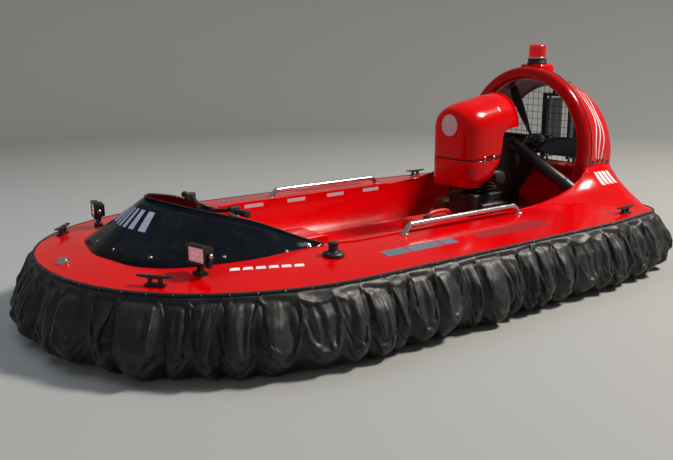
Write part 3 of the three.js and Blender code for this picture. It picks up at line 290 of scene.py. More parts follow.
def dropped(tree, point, direction=(0, 0, -1), reach=0.6):
    """Where a point lands on a surface, and the surface's own direction there."""
    point, direction = Vector(point), Vector(direction).normalized()
    hit, normal, _, _ = tree.ray_cast(point - direction * reach, direction, reach * 2.5)
    if hit is None:
        raise RuntimeError(f"nothing under {tuple(point)}")
    if normal.dot(direction) > 0:
        normal = -normal
    return hit, normal


def add_patch(bm, tree, corners, direction=(0, 0, -1), lift=0.0006, across=8, along=8, reach=0.3):
    """A thin patch laid on a surface inside four corners."""
    a, b, c, d = (Vector(p) for p in corners)
    for v in bmesh.ops.create_grid(bm, x_segments=across, y_segments=along, size=0.5)["verts"]:
        s, t = v.co.x + 0.5, v.co.y + 0.5
        flat = a.lerp(b, s).lerp(d.lerp(c, s), t)
        hit, normal = dropped(tree, flat, direction, reach)
        v.co = hit + normal * lift


# Materials: each from what the real finish is, colours as sRGB hex turned linear

def add_node(tree, kind, links=None, values=None, **options):
    """Adds a shader node with its options, its socket values and its links."""
    node = tree.nodes.new("ShaderNode" + kind)
    for key, value in options.items():
        setattr(node, key, value)
    for key, value in (values or {}).items():
        node.inputs[key].default_value = value
    for key, socket in (links or {}).items():
        tree.links.new(socket, node.inputs[key])
    return node


def blank(name, **values):
    """A material with one shader, its constant values set on the shader's own sockets."""
    material = bpy.data.materials.new(name)
    material.use_nodes = True
    tree = material.node_tree
    shader = tree.nodes["Principled BSDF"]
    for key, value in values.items():
        shader.inputs[key.replace("_", " ")].default_value = value
    coords = add_node(tree, "TexCoord")
    return material, tree, shader, coords.outputs["Object"]


def clouds(tree, coords, scale, detail, roughness=0.5, distortion=0.0):
    """The factor of a noise texture."""
    values = {"Scale": scale, "Detail": detail, "Roughness": roughness, "Distortion": distortion}
    return add_node(tree, "TexNoise", {"Vector": coords}, values).outputs["Fac"]


def ramp(tree, factor, low, high, start=0.0, stop=1.0):
    """A colour that runs from low to high as a factor goes from start to stop."""
    node = add_node(tree, "ValToRGB", {"Fac": factor})
    node.color_ramp.elements[0].position, node.color_ramp.elements[0].color = start, low
    node.color_ramp.elements[1].position, node.color_ramp.elements[1].color = stop, high
    return node.outputs["Color"]


def spread(tree, factor, low, high, start=0.0, stop=1.0):
    """A number that runs from low to high as a factor goes from start to stop."""
    return add_node(tree, "MapRange", {"Value": factor},
                    {"From Min": start, "From Max": stop, "To Min": low, "To Max": high}).outputs["Result"]


def scaled(tree, coords, scale):
    """Coordinates stretched by three factors."""
    return add_node(tree, "Mapping", {"Vector": coords}, {"Scale": scale}).outputs["Vector"]


def laid_over(tree, base, factor, hex_colour):
    """A base colour with dust or wear mixed in by a factor."""
    mixed = add_node(tree, "Mix", {"Factor": factor, "A": base}, data_type="RGBA")
    mixed.inputs["B"].default_value = linear(hex_colour)
    return mixed.outputs["Result"]


def multiplied(tree, one, other):
    """The product of two factors."""
    return add_node(tree, "Math", {0: one, 1: other}, operation="MULTIPLY").outputs[0]


def painted(tree, shader, base, rough, heights=()):
    """Links base colour and roughness, and chains bumps into the normal: height, distance, strength."""
    tree.links.new(base, shader.inputs["Base Color"])
    tree.links.new(rough, shader.inputs["Roughness"])
    normal = None
    for height, distance, strength in heights:
        links = {"Height": height}
        if normal is not None:
            links["Normal"] = normal
        normal = add_node(tree, "Bump", links, {"Distance": distance, "Strength": strength}).outputs["Normal"]
    if normal is not None:
        tree.links.new(normal, shader.inputs["Normal"])


def shade(colour, factor):
    """A colour made darker or lighter by a factor."""
    return (*(c * factor for c in colour[:3]), 1.0)


# Height in metres that the tub's non-slip grain reaches up to
GRIP_TOP = 0.153


def gelcoat_material(name, colour, grip=False):
    """Polyester gelcoat out of a polished mould: gloss, faint waves of the laminate, dust in streaks.
    The tub's floor has a moulded non-slip grain of about 7 mm."""
    material, tree, shader, coords = blank(
        name, IOR=1.5, Specular_IOR_Level=0.18, Coat_Weight=0.08, Coat_Roughness=0.05, Coat_IOR=1.5)
    streak = clouds(tree, scaled(tree, coords, (2.0, 9.0, 6.0)), 2.4, 6.0, 0.7)
    base = ramp(tree, clouds(tree, coords, 3.1, 5.0, 0.6), shade(colour, 0.93), shade(colour, 1.03), 0.3, 0.7)
    dusty = laid_over(tree, base, spread(tree, streak, 0.0, 0.05, 0.55, 0.8), "#7a4a44")
    heights = [(clouds(tree, coords, 7.0, 1.5), 0.004, 0.14),
               (clouds(tree, coords, 260.0, 1.0), 0.0003, 0.05)]
    if grip:
        grain = add_node(tree, "TexVoronoi", {"Vector": coords}, {"Scale": 150.0})
        split = add_node(tree, "SeparateXYZ", {"Vector": coords})
        low = add_node(tree, "Math", {0: split.outputs["Z"]}, {1: GRIP_TOP}, operation="LESS_THAN")
        heights.append((multiplied(tree, grain.outputs["Distance"], low.outputs[0]), 0.002, 0.5))
    painted(tree, shader, dusty, spread(tree, streak, 0.13, 0.22, 0.3, 0.8), heights)
    return material


def fabric_material(name, colour):
    """Nylon coated with black polymer on both sides: a dull shine on every crease, a plain weave showing
    through the coat, drawn at 2.5 mm because its threads of 0.6 mm can't show, and dust low down."""
    material, tree, shader, coords = blank(name, IOR=1.5, Sheen_Weight=0.05, Sheen_Roughness=0.4)
    split = add_node(tree, "SeparateXYZ", {"Vector": coords})
    cloud = clouds(tree, coords, 11.0, 6.0, 0.65)
    base = ramp(tree, cloud, shade(colour, 0.7), shade(colour, 1.55), 0.3, 0.72)
    low = spread(tree, split.outputs["Z"], 1.0, 0.0, 0.0, 0.24)
    grime = clouds(tree, coords, 24.0, 8.0, 0.7)
    dust = multiplied(tree, low, spread(tree, grime, 0.0, 0.22, 0.42, 0.75))
    weave = add_node(tree, "TexChecker", {"Vector": tree.nodes["Texture Coordinate"].outputs["UV"]},
                     {"Scale": 400.0})
    creases = clouds(tree, coords, 26.0, 4.0, distortion=0.8)
    painted(tree, shader, laid_over(tree, base, dust, "#6f6a60"), spread(tree, grime, 0.42, 0.62, 0.3, 0.75),
            [(creases, 0.0022, 0.5), (weave.outputs["Fac"], 0.0003, 0.12)])
    return material


def moulded_material(name, colour, roughness, grain, depth, wear="#8a8a8a"):
    """Moulded or coated parts: an even fine grain, lighter on scuffed spots."""
    material, tree, shader, coords = blank(name, IOR=1.5)
    cloud = clouds(tree, coords, 30.0, 6.0, 0.7)
    base = ramp(tree, cloud, shade(colour, 0.85), shade(colour, 1.3), 0.3, 0.75)
    painted(tree, shader, laid_over(tree, base, spread(tree, cloud, 0.0, 0.14, 0.6, 0.78), wear),
            spread(tree, cloud, roughness - 0.08, roughness + 0.12, 0.3, 0.75),
            [(clouds(tree, coords, grain, 2.0), depth, 0.5)])
    return material


def metal_material(name, colour, roughness, soil, grain=90.0, depth=0.0002, stretch=(1.0, 1.0, 1.0)):
    """Bare metal: polished, turned or cast, with handling marks that dull it in places."""
    material, tree, shader, coords = blank(name, Metallic=1.0)
    marks = clouds(tree, coords, 22.0, 7.0, 0.7)
    painted(tree, shader, ramp(tree, marks, shade(colour, 1.0 - soil), colour, 0.3, 0.6),
            spread(tree, marks, roughness + 0.16, roughness, 0.3, 0.6),
            [(clouds(tree, scaled(tree, coords, stretch), grain, 3.0), depth, 0.35)])
    return material


def tinted_material(name, colour):
    """Thermoformed tinted acrylic sheet: near black, with faint form waves and fine dust.
    Its reflections are held low."""
    material, tree, shader, coords = blank(name, IOR=1.49, Specular_IOR_Level=0.05, Transmission_Weight=0.25)
    dust = clouds(tree, coords, 14.0, 8.0, 0.75)
    painted(tree, shader, ramp(tree, dust, colour, shade(colour, 2.2), 0.45, 0.8),
            spread(tree, dust, 0.09, 0.26, 0.4, 0.75), [(clouds(tree, coords, 4.0, 1.0), 0.006, 0.3)])
    return material


def lens_material(name, colour, glow, transmission):
    """Moulded clear lens that light passes through in part, with a faint glow of its own."""
    material, tree, shader, coords = blank(
        name, IOR=1.53, Transmission_Weight=transmission, Emission_Color=colour, Emission_Strength=glow)
    cloud = clouds(tree, coords, 40.0, 3.0)
    base = ramp(tree, cloud, shade(colour, 0.8), colour, 0.3, 0.7)
    painted(tree, shader, base, spread(tree, cloud, 0.10, 0.24))
    return material


def sheet_material(name, colour, roughness, metallic=0.0, cell=0.0):
    """Adhesive vinyl and reflective tape: flat colour, dirt in soft spots, and a net of cells in tape."""
    material, tree, shader, coords = blank(name, IOR=1.5, Metallic=metallic)
    cloud = clouds(tree, coords, 35.0, 6.0, 0.7)
    heights = []
    if cell:
        net = add_node(tree, "TexVoronoi", {"Vector": coords}, {"Scale": cell})
        heights.append((net.outputs["Distance"], 0.0006, 0.4))
    painted(tree, shader, ramp(tree, cloud, shade(colour, 0.78), colour, 0.3, 0.6),
            spread(tree, cloud, roughness + 0.1, roughness - 0.05), heights)
    return material


# Each finish: the slot that it fills, its maker, its material's name, its colour as a hex or as the name of
# one of the user's colours, and then what its maker takes besides
FINISH_ROWS = {
    "gelcoat_red": ("gelcoat_red", gelcoat_material, "polyester_gelcoat_red", "gelcoat"),
    # The rolled lip is the same gelcoat painted a darker red: painted shade on its forward face
    "lip_red": ("gelcoat_red", gelcoat_material, "polyester_gelcoat_lip", "#9c0206"),
    "tub_red": ("tub_red", gelcoat_material, "polyester_gelcoat_tub", "tub", True),
    "skirt_fabric": ("skirt_fabric", fabric_material, "coated_nylon_black", "fabric"),
    "tinted_sheet": ("tinted_sheet", tinted_material, "tinted_acrylic_sheet", "tint"),
    "rubber_black": ("rubber_black", moulded_material, "extruded_rubber_black", "#151516", 0.62, 300.0,
                     0.0004),
    "sealant": ("rubber_black", moulded_material, "sealant_bead_black", "#0d0d0e", 0.5, 200.0, 0.0003),
    "skid_plastic": ("skid_plastic", moulded_material, "polyethylene_wear_strip", "#1d1e20", 0.5, 120.0,
                     0.0008, "#b0aca4"),
    "black_metal": ("black_metal", moulded_material, "powder_coat_black", "#141516", 0.38, 520.0, 0.0003),
    "black_plastic": ("black_plastic", moulded_material, "moulded_abs_black", "#17181a", 0.42, 420.0, 0.0003),
    "lamp_housing": ("black_plastic", moulded_material, "die_cast_housing_black", "#121314", 0.4, 300.0,
                     0.0004),
    "blade_composite": ("black_metal", moulded_material, "glass_filled_nylon_blade", "#1b1c1e", 0.34, 260.0,
                        0.0004),
    # Inside of the duct: unpolished and duller, and painted a dark red as painted shade inside the barrel
    "barrel_red": ("gelcoat_red", moulded_material, "unpolished_laminate_barrel", "#5c0507", 0.55, 260.0,
                   0.0005, "#6a2420"),
    "tank_red": ("tank_red", moulded_material, "blow_moulded_polyethylene_red", "tank", 0.36, 180.0, 0.0006,
                 "#c46a5c"),
    "engine_metal": ("engine_metal", metal_material, "cast_aluminium_dark", "#4a4b4e", 0.5, 0.5, 160.0,
                     0.0008),
    "exhaust_steel": ("engine_metal", metal_material, "heated_steel_exhaust", "#6e5a4a", 0.42, 0.5),
    "alloy_tube": ("alloy_tube", metal_material, "polished_aluminium_tube", "#d7d9dc", 0.16, 0.25, 6.0,
                   0.0001, (1.0, 30.0, 30.0)),
    "chrome": ("chrome", metal_material, "chromium_plate", "#dfe2e6", 0.05, 0.1, 90.0, 0.00005),
    "stainless": ("chrome", metal_material, "stainless_steel_fastener", "#b9babb", 0.24, 0.3),
    "beacon_red": ("beacon_red", lens_material, "polycarbonate_lens_red", "beacon", 0.25, 0.55),
    "lamp_lens": ("beacon_red", lens_material, "polycarbonate_lens_pink", "#e8b6bf", 0.15, 0.3),
    "badge_vinyl": ("badge_vinyl", sheet_material, "printed_vinyl_grey", "#b9a4ae", 0.4),
    "white_vinyl": ("badge_vinyl", sheet_material, "printed_vinyl_white", "#dcd3d6", 0.38),
    "blue_vinyl": ("badge_vinyl", sheet_material, "printed_vinyl_pale_blue", "#8f98b0", 0.35),
    "reflective_tape": ("badge_vinyl", sheet_material, "reflective_tape_silver", "#cfd3d6", 0.3, 0.35, 260.0),
    "grey_patch": ("gelcoat_red", sheet_material, "adhesive_wear_patch_grey", "#5d6c7c", 0.34, 0.1, 300.0),
    # A band on the side deck, a darker crimson than the gelcoat
    "crimson_patch": ("gelcoat_red", sheet_material, "adhesive_wear_patch_crimson", "#8f0d1c", 0.4),
}
# Materials made so far
MADE = {}


def finish(name):
    """The material of a finish, made once."""
    if name not in MADE:
        _, maker, title, colour, *rest = FINISH_ROWS[name]
        value = linear(colour) if colour.startswith("#") else tuple(getattr(colours(), colour))
        MADE[name] = maker(title, value, *rest)
    return MADE[name]


# The finish of every CAD node, also used by the pieces that take a node's own shape
NODE_FINISHES = {
    "gelcoat_red": "lower_hull deck_moulding lift_splitter beacon_pedestal duct_lip duct_shell cowl_upper "
                   "cowl_lower",
    "tub_red": "cockpit_tub console",
    "rubber_black": "rub_rail grip_port grip_starboard",
    "skid_plastic": "skid_port skid_centre skid_starboard",
    "black_metal": "fan_beam rudder_frame engine_frame steering_column handlebar strut_port strut_starboard "
                   "duct_guard",
    "blade_composite": "fan rudder_port rudder_starboard",
    "black_plastic": "belt_housing cleat_bow_port cleat_bow_starboard cleat_stern_port cleat_stern_starboard "
                     "deck_socket fuel_cap beacon_base",
    "lamp_housing": "lamp_port lamp_starboard",
    "engine_metal": "engine_block",
    "exhaust_steel": "exhaust",
    "alloy_tube": "side_rail_port side_rail_starboard",
    "chrome": "bow_light",
    "badge_vinyl": "cowl_badge",
    "beacon_red": "beacon_dome",
    "tank_red": "fuel_tank",
    "skirt_fabric": "skirt_bow skirt_port skirt_stern skirt_starboard",
    "tinted_sheet": "windscreen",
}
FINISH_OF = {node: name for name, nodes in NODE_FINISHES.items() for node in nodes.split()}


# Skirt: fabric segments hung from the rim, made by cloth simulation and laid round the rim's outline

RIM_HALF_LENGTH = 1.940
RIM_HALF_WIDTH = 1.067
# Plan of the rim from the corner of the stern to its middle, as in the CAD: metres along the craft and across
TAPER_START, TAPER_END, TAPER_HALF = -1.080, -1.540, 1.018
CORNER_CONTROL, CORNER_END = (-1.631, 1.008), (-1.690, 0.900)
BOW_CENTRE, BOW_POWER = 0.720, 2.15
# Section of one fabric bag: share of the way from the rim round to the inside, how far out from the rim, its
# height, and how deep the seam beside it sinks. The fifth row is the knee, where the fabric turns back under.
SKIRT_ROWS = [
    (0.000, 0.003, 0.3716, 0.000), (0.035, 0.026, 0.3700, 0.010), (0.085, 0.072, 0.3540, 0.036),
    (0.270, 0.136, 0.2660, 0.066), (0.460, 0.169, 0.1560, 0.078), (0.600, 0.128, 0.0760, 0.060),
    (0.760, 0.056, 0.0120, 0.030), (0.840, 0.002, 0.0045, 0.010), (0.900, -0.034, 0.0050, 0.004),
    (0.940, -0.052, 0.0450, 0.000), (1.000, -0.062, 0.1200, 0.000),
]
KNEE = 0.460
ACROSS = 28      # faces across one segment
DOWN = 62        # faces from the rim round to the inside
VARIANTS = 12    # segments that are simulated side by side, then used in turn round the rim
HUNG_FRAMES = 26
# Spare cloth outwards and downwards, as factors
SPARE_OUT, SPARE_DOWN = 1.06, 1.03
# Stations where the bow run and the side runs of fabric end
BOW_RUN_END, SIDE_RUN_END = 2200, -40
# Length of weave across a metre of rim, and down the whole fabric in metres
WEAVE_WIDEN, WEAVE_DEPTH = 1.2, 0.62


def half_rim():
    """Points of the rim's outline from the bow's tip round the port side to the middle of the stern."""
    points = []
    reach = RIM_HALF_LENGTH - BOW_CENTRE
    for i in range(91):
        t = i / 90 * math.pi / 2
        points.append(Vector((BOW_CENTRE + reach * max(math.cos(t), 0.0) ** (2 / BOW_POWER),
                              RIM_HALF_WIDTH * math.sin(t) ** (2 / BOW_POWER))))
    points.append(Vector((TAPER_START, RIM_HALF_WIDTH)))
    a, b, c = Vector((TAPER_END, TAPER_HALF)), Vector(CORNER_CONTROL), Vector(CORNER_END)
    for i in range(13):
        t = i / 12
        points.append(a * (1 - t) ** 2 + b * 2 * t * (1 - t) + c * t * t)
    for i in range(1, 17):
        y = CORNER_END[1] * (1 - i / 16)
        curve = (CORNER_END[0] + RIM_HALF_LENGTH) * (y / CORNER_END[1]) ** 2
        points.append(Vector((-RIM_HALF_LENGTH + curve, y)))
    return points


HALF_RIM = half_rim()
HALF_SUMS = [0.0]
for near, far in zip(HALF_RIM, HALF_RIM[1:]):
    HALF_SUMS.append(HALF_SUMS[-1] + (far - near).length)
HALF_PERIMETER = HALF_SUMS[-1]


def rim_at(distance):
    """The rim's point at a distance from the bow's tip; negative distances run round the starboard side."""
    d = (distance + HALF_PERIMETER) % (2 * HALF_PERIMETER) - HALF_PERIMETER
    side, d = (1 if d >= 0 else -1), abs(d)
    i = min(max(bisect.bisect_left(HALF_SUMS, d), 1), len(HALF_SUMS) - 1)
    t = (d - HALF_SUMS[i - 1]) / max(HALF_SUMS[i] - HALF_SUMS[i - 1], 1e-9)
    p = HALF_RIM[i - 1].lerp(HALF_RIM[i], min(max(t, 0.0), 1.0))
    return Vector((p.x, p.y * side))


def rim_distance(x):
    """How far round the port side from the bow's tip the rim passes a place along the craft."""
    for i in range(1, len(HALF_RIM)):
        if HALF_RIM[i].x <= x:
            near, far = HALF_RIM[i - 1], HALF_RIM[i]
            t = (near.x - x) / max(near.x - far.x, 1e-9)
            return HALF_SUMS[i - 1] + t * (HALF_SUMS[i] - HALF_SUMS[i - 1])
    raise RuntimeError("the rim doesn't reach that far")


def rim_out(distance):
    """The outward direction of the rim, smoothed over a hand's width so that fabric doesn't kink."""
    total = Vector((0.0, 0.0))
    for step in (-0.06, -0.03, 0.0, 0.03, 0.06):
        along = rim_at(distance + step + 0.004) - rim_at(distance + step - 0.004)
        total += Vector((along.y, -along.x))
    return total.normalized()


def on_rows(t):
    """The section's straight-edged outline at a share of the way inside: out, height and seam depth."""
    t = min(max(t, 0.0), 1.0)
    for near, far in zip(SKIRT_ROWS, SKIRT_ROWS[1:]):
        if t <= far[0]:
            f = (t - near[0]) / (far[0] - near[0])
            return [x + (y - x) * f for x, y in zip(near[1:], far[1:])]
    return list(SKIRT_ROWS[-1][1:])


def girth_at(t):
    """The same outline with its corners rounded as far as fabric bends."""
    rows = [on_rows(t + step) for step in (-0.024, -0.012, 0.0, 0.012, 0.024)]
    return [sum(column) / 5 for column in zip(*rows)]


def of_segment(k, seed):
    """A number from -1 to 1 that belongs to one segment of the row."""
    return noise.noise(Vector(((k % VARIANTS) * 5.17 + 0.31, seed * 3.7, 0.5))) * 1.9


def fold(u, line, width):
    """How near a place across the bag is to a fold line: 1 on the line, 0 a width away."""
    return max(0.0, 1.0 - abs(u - line) / width)


def bag_relief(k, share, t):
    """How far one bag's cloth stands out of its smooth section: faces, ridges, gathers, a puckered knee."""
    u = share - 0.5
    # Two flat faces that meet in a slanting ridge
    ridge = 0.30 * of_segment(k, 1) + 0.9 * of_segment(k, 2) * (t - 0.35)
    slopes = (0.050 + 0.040 * of_segment(k, 3), 0.050 - 0.040 * of_segment(k, 3))
    relief = -slopes[0] * max(0.0, ridge - u) - slopes[1] * max(0.0, u - ridge)
    # A second fold that starts at the gathers and dies out below the knee
    line = -0.26 * of_segment(k, 1) + 0.8 * of_segment(k, 4) * (t - 0.25)
    relief -= 0.020 * fold(u, line, 0.13) * max(0.0, 1.0 - abs(t - 0.27) / 0.27)
    # Gathers under the rim: sharp valleys of different lengths with broad backs between them
    for n in range(4):
        slant = (0.5 + 0.4 * of_segment(k, 9)) * (t - 0.1) * (n - 1.5)
        line = -0.36 + 0.24 * n + 0.09 * of_segment(k, 5 + n) + slant
        length = 0.15 + 0.10 * abs(of_segment(k, 10 + n))
        relief -= 0.013 * fold(u, line, 0.075) * max(0.0, 1.0 - t / length) * min(1.0, t / 0.05)
    # Puckers of the drawn hem along the knee
    pucker = max(0.0, 1.0 - abs(t - KNEE + 0.012) / 0.055) * (0.5 + 0.5 * of_segment(k, 14))
    relief -= 0.0065 * max(pucker, 0.0) * (0.5 + 0.5 * math.cos(math.tau * (5.5 * share + of_segment(k, 15))))
    # Soft dents and a few crumples
    dents = noise.noise(Vector((share * 2.6 + (k % VARIANTS) * 9.0, t * 4.2, 1.0)))
    crumple = noise.noise(Vector((share * 8.0 + (k % VARIANTS) * 9.0, t * 13.0, 2.0)))
    return relief + 0.013 * dents + 0.0035 * crumple


def segment_start(i, j):
    """Where a point of the flat row of segments starts: along, out and height, before gravity acts."""
    k, share = divmod(i, ACROSS)
    share /= ACROSS
    t = j / DOWN
    hold = math.sin(math.pi * min(t * 1.12, 1.0)) ** 0.7
    lean = [(0.042 * of_segment(seam, 16) + 0.030 * of_segment(seam, 17) * (t - 0.4)) * hold
            for seam in (k, k + 1)]
    along = (k + share) * settings().segment_pitch + lean[0] + (lean[1] - lean[0]) * share
    # Walls beside the seams, the one on the left and the one on the right of different width
    walls = (0.13 + 0.06 * of_segment(k, 18), 0.13 + 0.06 * of_segment(k, 19))
    rise = min(share / walls[0], (1.0 - share) / walls[1], 1.0)
    belly = rise ** 0.62
    droop = 0.055 * of_segment(k, 20) * belly
    out, height, sink = girth_at(t + droop * max(0.0, 1.0 - abs(t - KNEE) / 0.42))
    slack = out - sink * (1.0 - belly) * (1.0 + 0.3 * of_segment(k, 21))
    slack += 0.012 * of_segment(k, 22) * hold * belly
    slack += bag_relief(k, share, t) * belly * hold
    return Vector((along, slack, height + 0.004 * of_segment(k, 23) * hold))


def grid_place(v, columns):
    """Column and row of a vertex in a fresh grid."""
    return round((v.co.x + 0.5) * columns), round((v.co.y + 0.5) * DOWN)


def simulate_segments():
    """Hangs a row of segments as cloth with spare fabric; returns each place's point, settled."""
    columns = ACROSS * VARIANTS
    bm = bmesh.new()
    bmesh.ops.create_grid(bm, x_segments=columns, y_segments=DOWN, size=0.5)
    places = {}
    bm.verts.index_update()
    for v in bm.verts:
        place = grid_place(v, columns)
        places[place] = v.index
        v.co = segment_start(*place)
    mesh = bpy.data.meshes.new("segments")
    bm.to_mesh(mesh)
    bm.free()
    start = [v.co.copy() for v in mesh.vertices]
    obj = bpy.data.objects.new("segments", mesh)
    bpy.context.scene.collection.objects.link(obj)
    obj.shape_key_add(name="hung")
    cut = obj.shape_key_add(name="cut")
    wide = 1.0 + settings().skirt_fullness
    for v, key in zip(mesh.vertices, cut.data):
        key.co = Vector((v.co.x * wide, v.co.y * SPARE_OUT, v.co.z * SPARE_DOWN))
    cut.value = 0.0
    held = obj.vertex_groups.new(name="held")
    for (i, j), k in places.items():
        if not 0.03 <= j / DOWN <= 0.86 or i in (0, columns):
            held.add([k], 1.0, "REPLACE")
        elif i % ACROSS == 0:
            held.add([k], 0.75, "REPLACE")
    cloth = obj.modifiers.new("cloth", "CLOTH")
    s = cloth.settings
    s.rest_shape_key = cut
    s.quality = 5
    s.mass = 0.3
    s.tension_stiffness = s.compression_stiffness = 20.0
    s.shear_stiffness = 8.0
    s.bending_stiffness = 3.0
    s.tension_damping = s.compression_damping = s.shear_damping = 8.0
    s.air_damping = 2.0
    s.vertex_group_mass = "held"
    s.pin_stiffness = 4.0
    s.use_pressure = True
    s.uniform_pressure_force = 0.5
    cloth.collision_settings.use_collision = False
    cloth.point_cache.frame_start, cloth.point_cache.frame_end = 1, HUNG_FRAMES
    scene = bpy.context.scene
    for step in range(1, HUNG_FRAMES + 1):
        scene.frame_set(step)
    shape = obj.evaluated_get(bpy.context.evaluated_depsgraph_get())
    moved = [v.co.copy() for v in shape.data.vertices]
    bpy.data.objects.remove(obj)
    bpy.data.meshes.remove(mesh)
    scene.frame_set(1)
    return {key: settle(start[k], moved[k]) for key, k in places.items()}


def settle(start, moved, limit=0.030):
    """Caps how far the simulation may carry a point, and keeps it off the ground."""
    change = moved - start
    if change.length > limit:
        change *= limit / change.length
    p = start + change
    low = 0.0045 + 0.002 * noise.noise(Vector((p.x * 30, p.y * 30, 0)))
    if p.z < low:
        p.z = low + (low - p.z) * 0.02
    return p


class HOVERCRAFT_OT_skirt(bpy.types.Operator):
    """Hang the fabric segments of the skirt round the rim"""
    bl_idname = "hovercraft.skirt"
    bl_label = "Skirt"

    def execute(self, context):
        settled = simulate_segments()
        pitch = settings().segment_pitch
        bow_end = rim_distance(at(BOW_RUN_END).x)
        side_end = rim_distance(at(SIDE_RUN_END).x)
        runs = {
            "skirt_bow": (-bow_end, bow_end),
            "skirt_port": (bow_end, side_end),
            "skirt_stern": (side_end, 2 * HALF_PERIMETER - side_end),
            "skirt_starboard": (-side_end, -bow_end),
        }
        first = 0
        for name, (start, stop) in runs.items():
            count = round((stop - start) / pitch)
            width = (stop - start) / count
            bm = bmesh.new()
            bmesh.ops.create_grid(bm, x_segments=count * ACROSS, y_segments=DOWN, size=0.5)
            uv = bm.loops.layers.uv.new("UVMap")
            spots = {}
            for v in bm.verts:
                i, j = spots[v] = grid_place(v, count * ACROSS)
                column = (i + first * ACROSS) % (ACROSS * VARIANTS)
                p = settled[(column, j)]
                drift = (p.x - column / ACROSS * pitch) * width / pitch
                d = start + i / ACROSS * width + drift
                spot, out = rim_at(d), rim_out(d)
                v.co = Vector((spot.x + out.x * p.y, spot.y + out.y * p.y, p.z))
            for face in bm.faces:
                for loop in face.loops:
                    i, j = spots[loop.vert]
                    loop[uv].uv = (i / ACROSS * width * WEAVE_WIDEN, j / DOWN * WEAVE_DEPTH)
            first = (first + count) % VARIANTS
            obj = piece(name + "_fabric", bm, "skirt_fabric", sharp=180.0)
            thicken(obj, "cloth thickness", 0.0012, name)
        return {"FINISHED"}


# The photo's camera: place in metres, heading, pitch down and roll in degrees, and focal length in pixels
CAMERA_PLACE = (2.985, 3.744, 1.401)
CAMERA_HEADING = (-0.598, -0.8015, 0.0)
CAMERA_PITCH, CAMERA_ROLL = 12.99, -0.28
FOCAL_LENGTH, PHOTO_WIDTH = 783.6, 673.0
SENSOR_WIDTH = 36.0
# Lights: place, target, power in watts, size in metres and colour
LIGHTS = {
    "key": ((-6.3, 4.25, 9.4), (0.1, 0.0, 0.3), 2200.0, 2.0, "#fff6ec"),
    "sky": ((2.6, -2.6, 6.0), (0.0, 0.0, 0.3), 210.0, 5.0, "#e6f0ff"),
    "front": ((6.2, 2.6, 2.6), (0.4, 0.0, 0.4), 30.0, 3.0, "#ffffff"),
}
# Floor's radius where it starts to turn up, the turn's radius and the wall's height
FLOOR_RADIUS, FLOOR_TURN, WALL_TOP = 9.0, 3.5, 9.0


class HOVERCRAFT_OT_stage(bpy.types.Operator):
    """Set up the grey floor, the soft studio lights and the camera"""
    bl_idname = "hovercraft.stage"
    bl_label = "Stage, light and camera"

    def execute(self, context):
        scene = context.scene
        scene.world = world = bpy.data.worlds.new("studio")
        world.use_nodes = True
        background = world.node_tree.nodes["Background"]
        background.inputs["Color"].default_value = linear("#dfe4ea")
        background.inputs["Strength"].default_value = 0.25

        # A round floor that turns up into a wall without a corner
        bm = bmesh.new()
        turn = [(FLOOR_RADIUS + FLOOR_TURN * math.sin(a * math.pi / 24),
                 FLOOR_TURN - FLOOR_TURN * math.cos(a * math.pi / 24)) for a in range(13)]
        add_spin(bm, [(0.0, 0.0), *turn, (FLOOR_RADIUS + FLOOR_TURN, WALL_TOP)], (0, 0, 0), steps=96)
        bmesh.ops.recalc_face_normals(bm, faces=bm.faces)
        bmesh.ops.reverse_faces(bm, faces=bm.faces)
        mesh = bpy.data.meshes.new("floor")
        bm.to_mesh(mesh)
        bm.free()
        mesh.shade_smooth()
        floor = bpy.data.objects.new("floor", mesh)
        scene.collection.objects.link(floor)
        material = blank("studio_floor_pale", Roughness=0.8, Base_Color=linear("#8e908e"))[0]
        mesh.materials.append(material)

        for name, (place, target, power, size, hex_colour) in LIGHTS.items():
            data = bpy.data.lights.new(name, "AREA")
            data.energy, data.size, data.color = power, size, linear(hex_colour)[:3]
            lamp = bpy.data.objects.new(name, data)
            scene.collection.objects.link(lamp)
            # Only the key light shows as a highlight: the two fills would draw square panels in the gloss
            lamp.visible_glossy = name == "key"
            turn = (Vector(place) - Vector(target)).to_track_quat("Z", "Y")
            lamp.matrix_world = Matrix.Translation(place) @ turn.to_matrix().to_4x4()

        data = bpy.data.cameras.new("camera")
        data.sensor_width = SENSOR_WIDTH
        data.lens = FOCAL_LENGTH * SENSOR_WIDTH / PHOTO_WIDTH
        data.clip_end = 200.0
        camera = bpy.data.objects.new("camera", data)
        scene.collection.objects.link(camera)
        pitch = math.radians(CAMERA_PITCH)
        facing = Vector(CAMERA_HEADING).normalized() * math.cos(pitch) + Vector((0.0, 0.0, -math.sin(pitch)))
        turn = facing.to_track_quat("-Z", "Y").to_matrix().to_4x4()
        camera.matrix_world = (Matrix.Translation(CAMERA_PLACE) @ turn
                               @ Matrix.Rotation(math.radians(CAMERA_ROLL), 4, "Z"))
        scene.camera = camera
        scene.view_settings.view_transform = "Standard"
        return {"FINISHED"}


class HOVERCRAFT_OT_finishes(bpy.types.Operator):
    """Give every CAD node its real finish"""
    bl_idname = "hovercraft.finishes"
    bl_label = "Finishes of the CAD nodes"

    def execute(self, context):
        for node, name in FINISH_OF.items():
            for place in NODES[node].material_slots:
                place.material = finish(name)
        return {"FINISHED"}


# Windscreen: foot's station and Y, top edge's station, Y and Z, from the port tip to the middle
SCREEN_ROWS = [
    (2205, 602, 2200, 601, 437), (2420, 606, 2290, 532, 468), (2640, 594, 2500, 430, 560),
    (2930, 490, 2720, 300, 622), (3080, 330, 2815, 165, 646), (3138, 130, 2866, 62, 660),
    (3156, 0, 2880, 0, 664),
]
# Height of the foot line in mm, height in metres that the sheet reaches down to, and the greatest share of
# its rise that lies below the foot line
SCREEN_FOOT, SCREEN_LOW, SCREEN_SINK = 430, 0.406, 0.30


